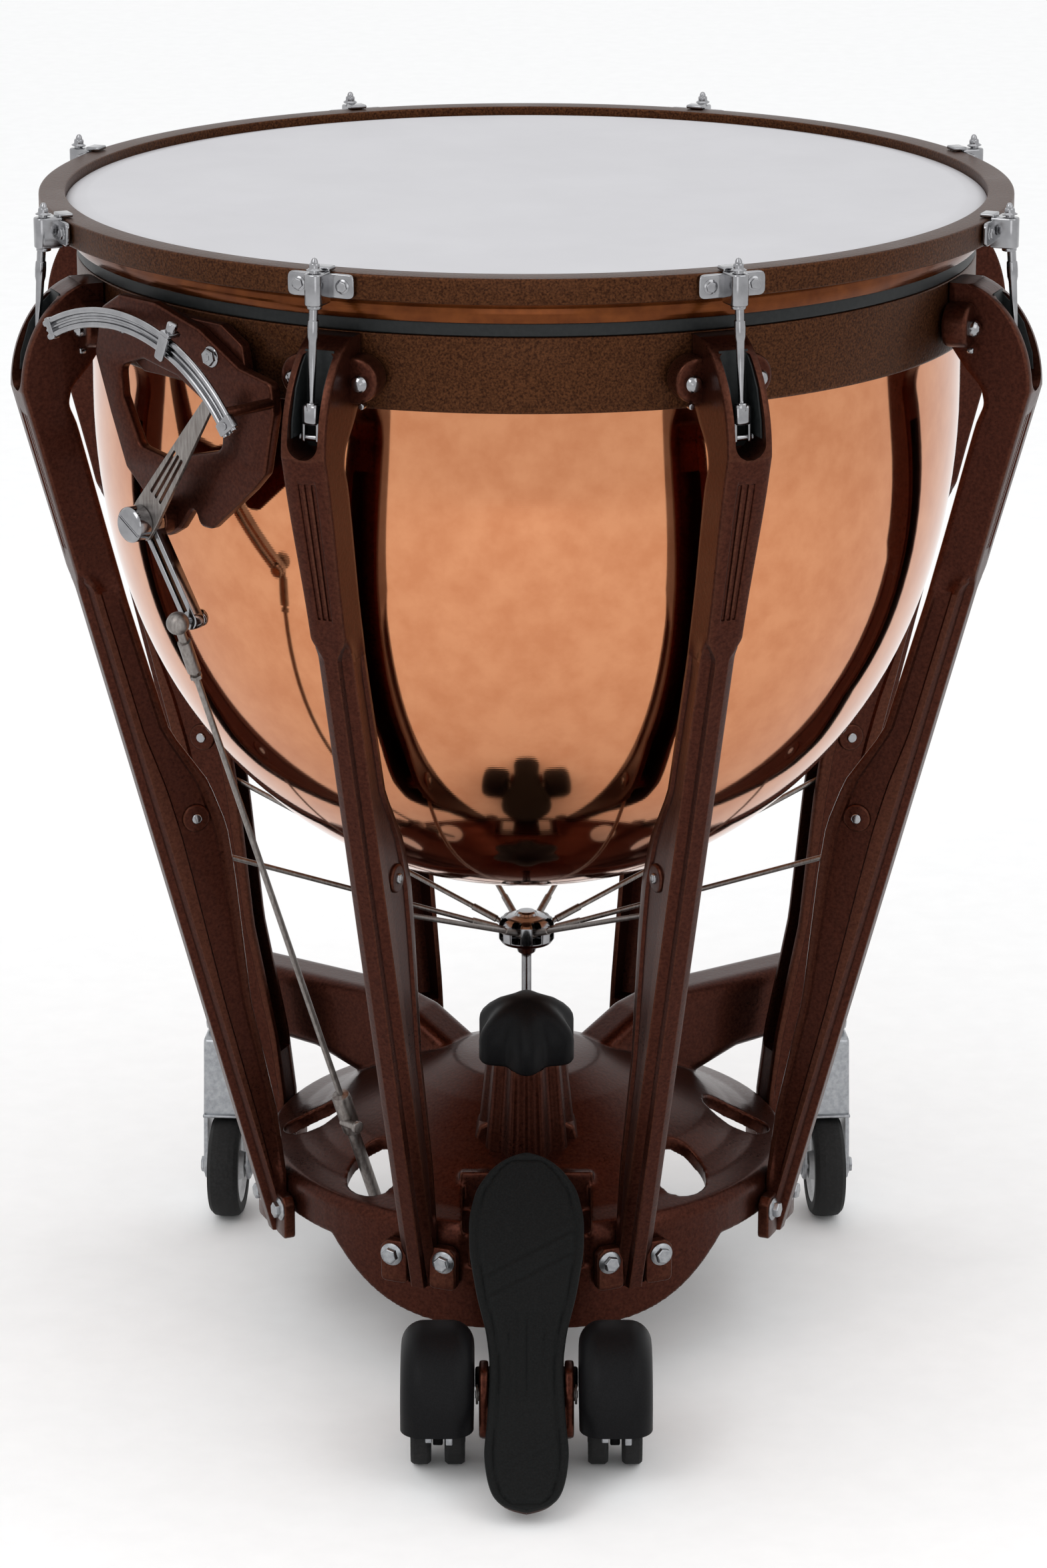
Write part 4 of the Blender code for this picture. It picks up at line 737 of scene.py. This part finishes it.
def make_knob():
    # scale of the outline, height, depth of the lobes
    levels = [(0.28, -15.0, 0.0), (0.90, -15.0, 0.9), (0.97, -14.2, 1.0), (1.0, -12.0, 1.0), (1.0, -4.0, 1.0),
              (1.0, 3.0, 1.0), (0.985, 7.0, 1.0), (0.94, 11.0, 0.95), (0.84, 16.5, 0.8), (0.68, 22.6, 0.55),
              (0.48, 27.4, 0.3), (0.26, 30.2, 0.1), (0.05, 31.2, 0.0)]
    rings = []
    for scale, z, lobe in levels:
        ring = []
        for k in range(144):
            a = 2 * math.pi * k / 144
            r = (KNOB_R - 4.5 + 4.4 * lobe * math.cos(6 * a)) * scale
            ring.append((r * math.sin(a), r * math.cos(a), z))
        rings.append(ring)
    cap = loft(rings)
    stem = disc(8.0, 27.0, (0, 0, -28.0), "Z", 1.0)
    knob = move(join([cap, stem]), (0, KNOB_Y, KNOB_Z))
    place(tilt_knob(knob), "knob_cap", "plastic", "knob", ["tension_knob"], 50.0)
    rings = []
    for k in range(25):
        z = 42.0 - 92.0 * k / 24
        flare = 1.0 + 0.0032 * (42.0 - z)
        rings.append([((28.6 + 2.0 * math.cos(10 * a)) * flare * math.cos(a),
                       (28.6 + 2.0 * math.cos(10 * a)) * flare * math.sin(a), z)
                      for a in (2 * math.pi * m / 160 for m in range(160))])
    top = [(0.0, 42.3), (9.5, 42.3), (9.5, 42.9), (26.0, 42.6), (26.6, 41.8), (26.6, 40.0), (0.0, 40.0)]
    parts = [loft(rings), lathe(rounded(top, 0.3, False, 2), 64)]
    for side in (-1, 1):
        cheek = [(side * 26.0, -50.0), (side * 40.5, -50.0), (side * 40.0, -32.0), (side * 37.0, -21.0),
                 (side * 26.0, -15.0)]
        parts.append(plate(rounded(cheek, 4.0), 22.0, edge=3.0))
    tower = move(join(parts), (0, KNOB_Y, KNOB_Z - 59.0))
    place(tilt_knob(tower), "housing_skin", "enamel", "frame", ["spring_housing"], 50.0)


# ---------------------------------------------------------------- pedal
FOOT = [(-107.5, 0.0), (-103.5, 16.5), (-96.0, 24.5), (-82.0, 28.8), (-62.0, 31.2), (-36.0, 28.9),
        (-6.0, 27.3), (18.0, 27.4), (40.0, 30.0), (70.0, 37.0), (106.0, 42.8), (136.0, 43.2),
        (160.0, 38.0), (178.0, 26.5), (188.0, 14.0),
        (192.0, 0.0)]
FOOT_S = np.concatenate([[0.0], np.cumsum([math.dist(a, b) for a, b in zip(FOOT, FOOT[1:])])])


def foot_edge():
    """(length, half width) along the foot's outline, evenly spaced and smoothed."""
    s = np.linspace(0.0, FOOT_S[-1], 150)
    y = np.interp(s, FOOT_S, [p[0] for p in FOOT])
    x = np.interp(s, FOOT_S, [p[1] for p in FOOT])
    window = np.hanning(13) / np.hanning(13).sum()
    ys = np.convolve(np.pad(y, 6, mode="reflect", reflect_type="odd"), window, mode="valid")
    xs = np.convolve(np.pad(x, 6, mode="reflect", reflect_type="odd"), window, mode="valid")
    xs[0] = xs[-1] = 0.05
    return list(zip(ys, np.maximum(xs, 0.05)))


# Slanted lines of the rubber: place along the foot and height
STRIPES = ((104.0, -1.2), (100.5, 1.0), (82.0, 1.0), (85.5, -1.1), (-62.0, 0.9), (-65.0, -0.9))


def groove(distance, width, depth):
    return -depth * math.exp(-(distance / width) ** 2)


def tread(x, y, edge):
    """Relief of the pedal's rubber, from the distance to its border."""
    z = groove(edge - 6.5, 1.3, 1.7)
    if edge > 8.0:
        for across, lift in STRIPES:
            wide = 35.0 if y > 0 else 19.0
            off = (y - across) * 0.87 - x * 0.52
            z += lift * math.exp(-(off / 1.1) ** 2) * (1 if abs(x) < wide else 0)
        if -22.0 < y < 62.0:
            fade = ease(y, -22.0, -10.0) * ease(y, 62.0, 48.0)
            z += fade * sum(groove(abs(x) - g, 1.2, 1.3) for g in (0.0, 6.5, 13.0))
    return z


def foot_plate(thickness, shrink, round_edge, relief=False, lift=0.0):
    edge = foot_edge()
    rings = []
    fan = 49
    for y, half in edge:
        y *= 1.0 - shrink / 110.0
        half = max(0.04, half - shrink)
        ends = min(y + HEEL_LEN, TOE_LEN - y)
        upper, lower = [], []
        for k in range(fan):
            u = math.sin(math.pi * (k / (fan - 1) - 0.5))
            x = u * half
            inset = min(half - abs(x), max(ends, 0.0))
            drop = 0.0
            if inset < round_edge:
                drop = round_edge - math.sqrt(max(0.0, round_edge ** 2 - (round_edge - inset) ** 2))
            z = thickness / 2 - drop + (tread(x, y, inset) if relief else 0.0)
            upper.append((x, y, z + lift))
            lower.append((x, y, -thickness / 2 + drop * 0.6 + lift))
        rings.append(upper + list(reversed(lower))[1:-1])
    return loft(rings)


def set_pedal(ob):
    return move(turn(ob, PEDAL_ANGLE, "X"), PEDAL_PIVOT)


def make_pedal():
    cover = foot_plate(6.0, 0.0, 2.2, True, 23.8)
    place(set_pedal(cover), "pedal_tread", "rubber", "pedal", ["pedal_rubber"], 60.0)
    under = foot_plate(7.0, 2.0, 1.6, False, 17.0)
    lug = [(-13.0, -10.0), (13.0, -10.0), (20.0, 16.0), (-20.0, 16.0)]
    rib = [(0.0, 12.0), (170.0, 14.0), (170.0, 9.0), (60.0, -4.0), (0.0, -4.0)]
    parts = [under, plate(rounded(lug, 5.0), 50.0, "YZ", edge=2.0),
             plate(rounded(rib, 3.0), 9.0, "YZ", edge=1.5)]
    place(set_pedal(join(parts)), "pedal_tray", "enamel", "pedal", ["pedal_plate"], 50.0)
    pin = join([disc(4.9, 74.0, (0, 0, 0), "X", 0.6),
                *[disc(7.4, 1.8, (side * 36.6, 0, 0), "X", 0.6) for side in (-1, 1)],
                *[disc(3.2, 1.0, (side * 37.4, 0, 0), "X", 0.3, 6) for side in (-1, 1)]])
    place(move(pin, PEDAL_PIVOT), "pedal_pin", "steel", "pedal", ["pedal_axle"])


def arc(centre, radius, start, end, count):
    return [(centre[0] + radius * math.cos(math.radians(start + (end - start) * i / count)),
             centre[1] + radius * math.sin(math.radians(start + (end - start) * i / count)))
            for i in range(count + 1)]


def make_front():
    bar = block((2 * (FRONT_X - GUARD_W / 2 - GAP), 15.0, 13.0), (0, FRONT_Y + 30.0, 54.0), 2.0)
    place(bar, "cross_bar", "plastic", "frame", ["front_axle"])
    for side, name in ((-1, "left"), (1, "right")):
        x = side * FRONT_X
        section = [(FRONT_Y - 56.0, 18.0), *arc((FRONT_Y, 53.0), 56.0, 176.0, 12.0, 30),
                   (FRONT_Y + 55.0, 18.0)]
        shell = plate(section, GUARD_W, "YZ", edge=17.0, fineness=7)
        wells = [disc(FRONT_R + 8.0, 18.0, (i * 13.0, FRONT_Y, FRONT_R + 3.0), "X", 0.4) for i in (-1, 1)]
        wells.append(block((80.0, 160.0, 60.0), (0, FRONT_Y, 14.0), 1.0))
        shell = boolean(shell, wells, "DIFFERENCE")
        web = plate([(FRONT_Y - 12.0, 60.0), (FRONT_Y - 7.0, 16.0), (FRONT_Y + 7.0, 16.0),
                     (FRONT_Y + 12.0, 60.0)], 7.4, "YZ", edge=1.0)
        shell = join([shell, web])
        place(move(shell, (x, 0, 0)), f"wheel_guard_{name}", "plastic", "frame",
              [f"front_guard_{name}"], 50.0)
        rims = []
        for i in (-1, 1):
            tread_line = [(3.1, 20.4), (9.0, 20.4), (10.0, 19.0), (20.0, 19.2), (FRONT_R - 1.8, 20.2),
                          (FRONT_R, 17.6), (FRONT_R, 7.6), (FRONT_R - 2.0, 5.2), (3.1, 5.2)]
            rims.append(lathe(rounded([(r, i * z) for r, z in tread_line], 1.0, steps=2), 64, "X"))
        rims.append(disc(3.1, 40.6, (0, 0, 0), "X", 0.5))
        wheel = move(join(rims), (x, FRONT_Y, FRONT_R))
        place(wheel, f"dual_wheel_{name}", "tyre", f"front_wheel_{name}", [f"front_wheel_{name}"])
        clips = join([block((5.0, 6.0, 9.0), (x + d, FRONT_Y - 40.0, 37.0 + lift), 0.8)
                      for d, lift in ((-1.0 * side - 7.0, 2.0), (9.0, 0.0))])
        place(clips, f"guard_clips_{name}", "zinc", "frame")


# ---------------------------------------------------------------- castors
def make_casters():
    for side, name in ((-1, "left"), (1, "right")):
        def stand(ob):
            return move(turn(ob, side * CASTER_YAW), (side * CASTER_X, CASTER_Y, 0))
        race = [(0.0, 166.0), (14.0, 166.0), (19.0, 164.6), (20.8, 161.0), (20.4, 157.0), (17.0, 154.6),
                (0.0, 154.6)]
        parts = [lathe(rounded(race, 0.9, False, 3), 64)]
        profile = [(-26.0, 154.4), (26.0, 154.4), (30.0, 120.0), (35.0, 88.0), (TRAIL + 12.0, WHEEL_R),
                   (TRAIL + 7.0, WHEEL_R - 11.0), (TRAIL - 7.0, WHEEL_R - 11.0),
                   (TRAIL - 14.0, WHEEL_R + 2.0), (-24.0, 118.0)]
        yoke = plate(rounded(profile, [6, 6, 30, 8, 20, 6, 6, 20, 30]), 39.0, "YZ", edge=2.4)
        yoke = boolean(yoke, [block((32.0, 160.0, 70.0), (0, TRAIL, 53.0), 1.0),
                              block((32.0, 110.0, 66.0), (0, -32.0, 115.0), 5.0)], "DIFFERENCE")
        hem = block((39.0, 7.0, 2.4), (0, 35.5, 89.6), 0.8)
        parts += [yoke, hem, disc(4.0, 43.0, (0, TRAIL, WHEEL_R), "X", 0.6)]
        parts += [turn(hex_bolt(6.6, 3.4, (0, 0, 0), "Z", 8.0), 90.0 * i, "Y") for i in (-1, 1)]
        for nut, i in zip(parts[-2:], (-1, 1)):
            move(nut, (i * 19.4, TRAIL, WHEEL_R))
        place(stand(join(parts)), f"castor_fork_{name}", "zinc", f"castor_{name}",
              [f"rear_fork_{name}"])
        tyre = [(31.0, 12.6), (WHEEL_R - 4.0, 12.8), (WHEEL_R - 0.8, 9.5), (WHEEL_R, 4.5), (WHEEL_R, -4.5),
                (WHEEL_R - 0.8, -9.5), (WHEEL_R - 4.0, -12.8), (31.0, -12.6)]
        ring = stand(move(lathe(rounded(tyre, 1.6), 96, "X"), (0, TRAIL, WHEEL_R)))
        place(ring, f"castor_tyre_{name}", "tyre", f"castor_wheel_{name}", [f"rear_wheel_{name}"])
        web = [(4.4, 14.0), (11.0, 14.0), (12.5, 9.0), (27.0, 8.4), (29.5, 11.6), (31.2, 11.6), (31.2, -11.6),
               (29.5, -11.6), (27.0, -8.4), (12.5, -9.0), (11.0, -14.0), (4.4, -14.0)]
        disk = stand(move(lathe(rounded(web, 1.2), 96, "X"), (0, TRAIL, WHEEL_R)))
        place(disk, f"castor_centre_{name}", "wheel", f"castor_wheel_{name}")


# ---------------------------------------------------------------- gauge
def gauge_polar(angle, radius):
    a = math.radians(angle)
    return GP_T + radius * math.cos(a), GP_Z + radius * math.sin(a)


def gauge_bar(angle, points):
    """Points given along and across a bar that turns about the gauge's pivot."""
    c, s = math.cos(math.radians(angle)), math.sin(math.radians(angle))
    return [(GP_T + a * c - b * s, GP_Z + a * s + b * c) for a, b in points]


def across_arc(angle, width, reach):
    """Corners of a small block that lies across the arc."""
    half = math.degrees(width / ARC_RADIUS / 2)
    return [gauge_polar(angle + a, ARC_RADIUS + r)
            for a, r in ((-half, -reach), (-half, reach), (half, reach), (half, -reach))]


def gauge_plate(outline, r0, r1, holes=(), edge=0.7):
    return move(plate(outline, r1 - r0, "YZ", holes, edge), ((r0 + r1) / 2, 0, 0))


def gauge_piece(ob, name, look, body, nodes=()):
    return place(to_azimuth(ob, GAUGE_AZ), name, look, body, nodes)


def make_bracket():
    pad = [(-56.0, 812.0), (-48.0, 842.0), (-20.0, 850.0), (44.0, 850.0), (66.0, 838.0), (70.0, 818.0),
           (56.0, 803.0), (-40.0, 803.0)]
    web = [(-84.0, 812.0), (-76.0, 846.0), (-56.0, 858.0), (-17.0, 858.0), (30.0, 846.0), (72.0, 824.0),
           (106.0, 818.0), (108.0, 796.0), (98.0, 752.0), (84.0, 738.0), (40.0, 702.0), (28.0, 702.0),
           (22.0, 716.0), (6.0, 696.0), (-8.0, 688.0), (-24.0, 694.0), (-30.0, 714.0), (-52.0, 732.0),
           (-68.0, 770.0)]
    window = [(-56.0, 806.0), (-31.0, 815.0), (6.0, 808.0), (54.0, 784.0), (53.0, 762.0), (-8.0, 746.0),
              (-36.0, 750.0), (-54.0, 784.0)]
    front = RING_OUT + 18.0
    parts = [gauge_plate(rounded(pad, 6.0), RING_OUT + GAP, RING_OUT + 9.0, edge=1.5),
             gauge_plate(rounded(web, 7.0), RING_OUT + 8.5, front, [rounded(window, 9.0)], 2.4),
             disc(12.0, 11.8, (front + 5.0, GP_T, GP_Z), "X", 1.6)]
    for angle in (111.0, 42.0):
        t, z = gauge_polar(angle, ARC_RADIUS)
        length = ARC_PLANE - 3.3 - front + 2.0
        parts.append(disc(4.0, length, (front - 2.0 + length / 2, t, z), "X", 0.8, 28))
    gauge_piece(join(parts), "bracket_casting", "enamel", "frame", ["gauge_bracket"])
    screws = join([hex_bolt(6.4, 4.4, (front - 0.2, 44.0, 828.0), "X", 7.6, True),
                   hex_bolt(6.4, 4.4, (front - 0.2, -52.0, 838.0), "X", 7.6, True)])
    gauge_piece(screws, "bracket_screws", "chrome", "frame")


def make_scale():
    pieces = []
    for offset, thick in ((-5.0, 2.3), (0.0, 1.1), (5.0, 2.3)):
        rail = [gauge_polar(119.0 - 83.0 * i / 48, ARC_RADIUS + offset) for i in range(49)]
        pieces.append(tube([(ARC_PLANE + 0.2, t, z) for t, z in rail], thick))
    band = [gauge_polar(119.0 - 83.0 * i / 48, ARC_RADIUS - 6.0) for i in range(49)]
    band += [gauge_polar(36.0 + 83.0 * i / 48, ARC_RADIUS + 6.0) for i in range(49)]
    pieces.append(gauge_plate(band, ARC_PLANE - 2.2, ARC_PLANE - 0.4, edge=0.4))
    for angle, width in ((117.0, 5.0), (38.5, 10.0)):
        quad = across_arc(angle, width, 8.0)
        pieces.append(gauge_plate(rounded(quad, 1.4), ARC_PLANE - 2.9, ARC_PLANE + 2.9))
    t, z = gauge_polar(38.5, ARC_RADIUS)
    pieces.append(disc(3.0, 1.8, (ARC_PLANE + 3.2, t, z), "X", 0.6, 24))
    gauge_piece(join(pieces), "scale_rails", "chrome", "frame", ["gauge_scale"])
    quad = across_arc(MARKER_ANGLE, 8.8, 9.6)
    marker = [gauge_plate(rounded(quad, 2.0), ARC_PLANE + 3.4, ARC_PLANE + 6.0)]
    t, z = gauge_polar(MARKER_ANGLE, ARC_RADIUS + 10.8)
    tab = turn(block((12.0, 9.0, 3.0), (0, 0, 0), 0.8), MARKER_ANGLE - 90.0, "X")
    stud = turn(disc(4.0, 8.8, (0, 0, 4.0), "Z", 1.2, 32), MARKER_ANGLE - 90.0, "X")
    marker += [move(tab, (ARC_PLANE, t, z)), move(stud, (ARC_PLANE, t, z))]
    gauge_piece(join(marker), "marker_clip", "chrome", "marker", ["note_marker"])


def make_pointer():
    blade = [(-8.0, -13.0), (10.0, -13.0), (POINTER_LEN, -5.0), (POINTER_LEN + 3.0, 0.0), (POINTER_LEN, 5.0),
             (10.0, 13.0), (-8.0, 13.0)]
    slots = [rounded(gauge_bar(POINTER_ANGLE, [(26.0, b - 1.3), (70.0, b * 0.8 - 1.3), (70.0, b * 0.8 + 1.3),
                                               (26.0, b + 1.3)]), 1.2) for b in (-5.6, 0.0, 5.6)]
    blade = gauge_plate(rounded(gauge_bar(POINTER_ANGLE, blade), 4.0), GP_R - 2.0, GP_R + 1.4, slots, 0.5)
    gauge_piece(blade, "pointer_blade", "steel", "gauge_hand")
    knob = lathe(rounded([(0.0, 13.8), (11.4, 13.8), (13.0, 12.2), (13.0, 2.2), (12.0, 1.0), (0.0, 1.0)], 0.8,
                         False, 3), 64, "X")
    cut = turn(block((4.0, 40.0, 2.4), (0, 0, 0), 0.5), -32.0, "X")
    knob = boolean(move(knob, (GP_R, GP_T, GP_Z)), [move(cut, (GP_R + 14.5, GP_T, GP_Z))], "DIFFERENCE")
    length = GP_R - RING_OUT - 14.0
    shaft = disc(4.0, length, (GP_R - 2.0 - length / 2, GP_T, GP_Z), "X", 0.5)
    gauge_piece(join([knob, shaft]), "pointer_knob", "chrome", "gauge_hand", ["gauge_pointer"])


def make_crank():
    r0, r1 = RING_OUT + 29.0 + GAP, GP_R - 2.0 - GAP
    parts = []
    for offset in (-4.6, 4.6):
        low, high = offset - 2.2, offset + 2.2
        corners = [(6.0, low), (CRANK_LEN, low), (CRANK_LEN, high), (6.0, high)]
        parts.append(gauge_plate(gauge_bar(CRANK_ANGLE, corners), r0, r1))
    t, z = gauge_polar(CRANK_ANGLE, CRANK_LEN)
    middle = (r0 + r1) / 2
    parts += [disc(12.0, r1 - r0, (middle, GP_T, GP_Z), "X", 1.0),
              disc(7.0, r1 - r0, (middle, t, z), "X", 1.0),
              disc(2.6, 25.6, (r1 + 5.0, t, z), "X", 0.8), disc(6.3, 7.0, (r0 - 2.0, t, z), "X", 2.6)]
    gauge_piece(join(parts), "crank_bars", "chrome", "gauge_hand", ["gauge_crank"])
    return t, z


def ball(radius, centre):
    profile = [(radius * math.sin(math.pi * k / 20), radius * math.cos(math.pi * k / 20)) for k in range(21)]
    profile[0], profile[-1] = (0.0, radius), (0.0, -radius)
    return move(lathe(profile, 40), centre)


def make_link(t, z):
    top, low = Vector((388.0, t, z)), Vector(ROD_LOW)
    way, full = (low - top).normalized(), (low - top).length

    def at(dist):
        return tuple(top + way * dist)
    bar = [(6.0, 3.4), (16.0, 3.4), (16.5, 5.0), (43.5, 5.0), (44.0, 2.4), (full - 22.0, 2.4),
           (full - 21.0, 6.6), (full - 19.0, 7.3), (full + 15.0, 7.3), (full + 17.0, 6.4), (full + 17.6, 4.9),
           (full + 91.5, 4.9)]
    rod = tube([at(d) for d, _ in bar], 1.0, [r for _, r in bar], 6)
    lock = tube([at(47.0), at(50.0)], 4.6, None, 1)
    x, y, level = at(full + 6.0)
    screw = disc(3.3, 19.0, (x + 6.0, y + 8.0, level), "Y", 0.8, 24)
    wing = disc(5.0, 4.0, (x + 6.0, y + 15.6, level), "Y", 1.2, 24)
    link = join([ball(8.4, tuple(top)), rod, lock, screw, wing])
    gauge_piece(link, "link_rod", "steel", "gauge_link", ["gauge_rod"])


# ---------------------------------------------------------------- stage
# Area lamps: name, place in metres, size in metres, watts
LAMPS = (("key", (-1.5, -1.9, 2.6), 1.3, 16.0), ("fill", (1.8, -1.5, 2.2), 1.6, 9.0),
         ("top", (0.0, 0.6, 3.2), 1.8, 6.0), ("low", (0.0, -2.6, 0.9), 1.0, 3.0))
SKY_COLOUR, SKY_STRENGTH = (0.99, 0.995, 1.0, 1.0), 1.05
CAMERA_AT, CAMERA_PITCH, CAMERA_LENS, FILM_LONG = (0.0, -3.5842, 1.5512), 17.46, 109.91, 36.0
CAMERA_SHIFT = -0.0019


def make_stage():
    floor = mesh_object([(x, y, 0.0) for x, y in ((-9e3, -9e3), (9e3, -9e3), (9e3, 9e3), (-9e3, 9e3))],
                        [(0, 1, 2, 3)], False)
    floor.name = "studio_floor"
    mat = surface("pale_floor", grey(0.90), grey(0.92), (0.75, 0.85), 0.0, grain=30.0, bump=0.02)
    floor.data.materials.append(mat)
    world = bpy.data.worlds.new("studio")
    world.use_nodes = True
    back = world.node_tree.nodes["Background"]
    back.inputs["Color"].default_value = SKY_COLOUR
    back.inputs["Strength"].default_value = SKY_STRENGTH
    bpy.context.scene.world = world
    for name, spot, size, power in LAMPS:
        light = bpy.data.lights.new(name, "AREA")
        light.size = size
        light.energy = power
        lamp = linked(light, name)
        lamp.location = spot
        lamp.rotation_euler = (Vector((0, 0, 0.5)) - Vector(spot)).to_track_quat("-Z", "Y").to_euler()


def make_camera():
    camera = bpy.data.cameras.new("camera")
    camera.sensor_fit = "AUTO"
    camera.sensor_width = FILM_LONG
    camera.lens = CAMERA_LENS
    camera.shift_x = CAMERA_SHIFT
    camera.clip_end = 60.0
    ob = linked(camera, "camera")
    ob.location = Vector(CAMERA_AT) + AXIS
    ob.rotation_euler = (math.radians(90.0 - CAMERA_PITCH), 0.0, 0.0)
    bpy.context.scene.camera = ob
    bpy.context.scene.view_settings.view_transform = "Standard"


make_camera()
make_stage()
make_bowl()
make_hoops()
make_struts()
make_tension()
make_spider()
make_base()
make_knob()
make_pedal()
make_front()
make_casters()
make_bracket()
make_scale()
make_pointer()
make_link(*make_crank())
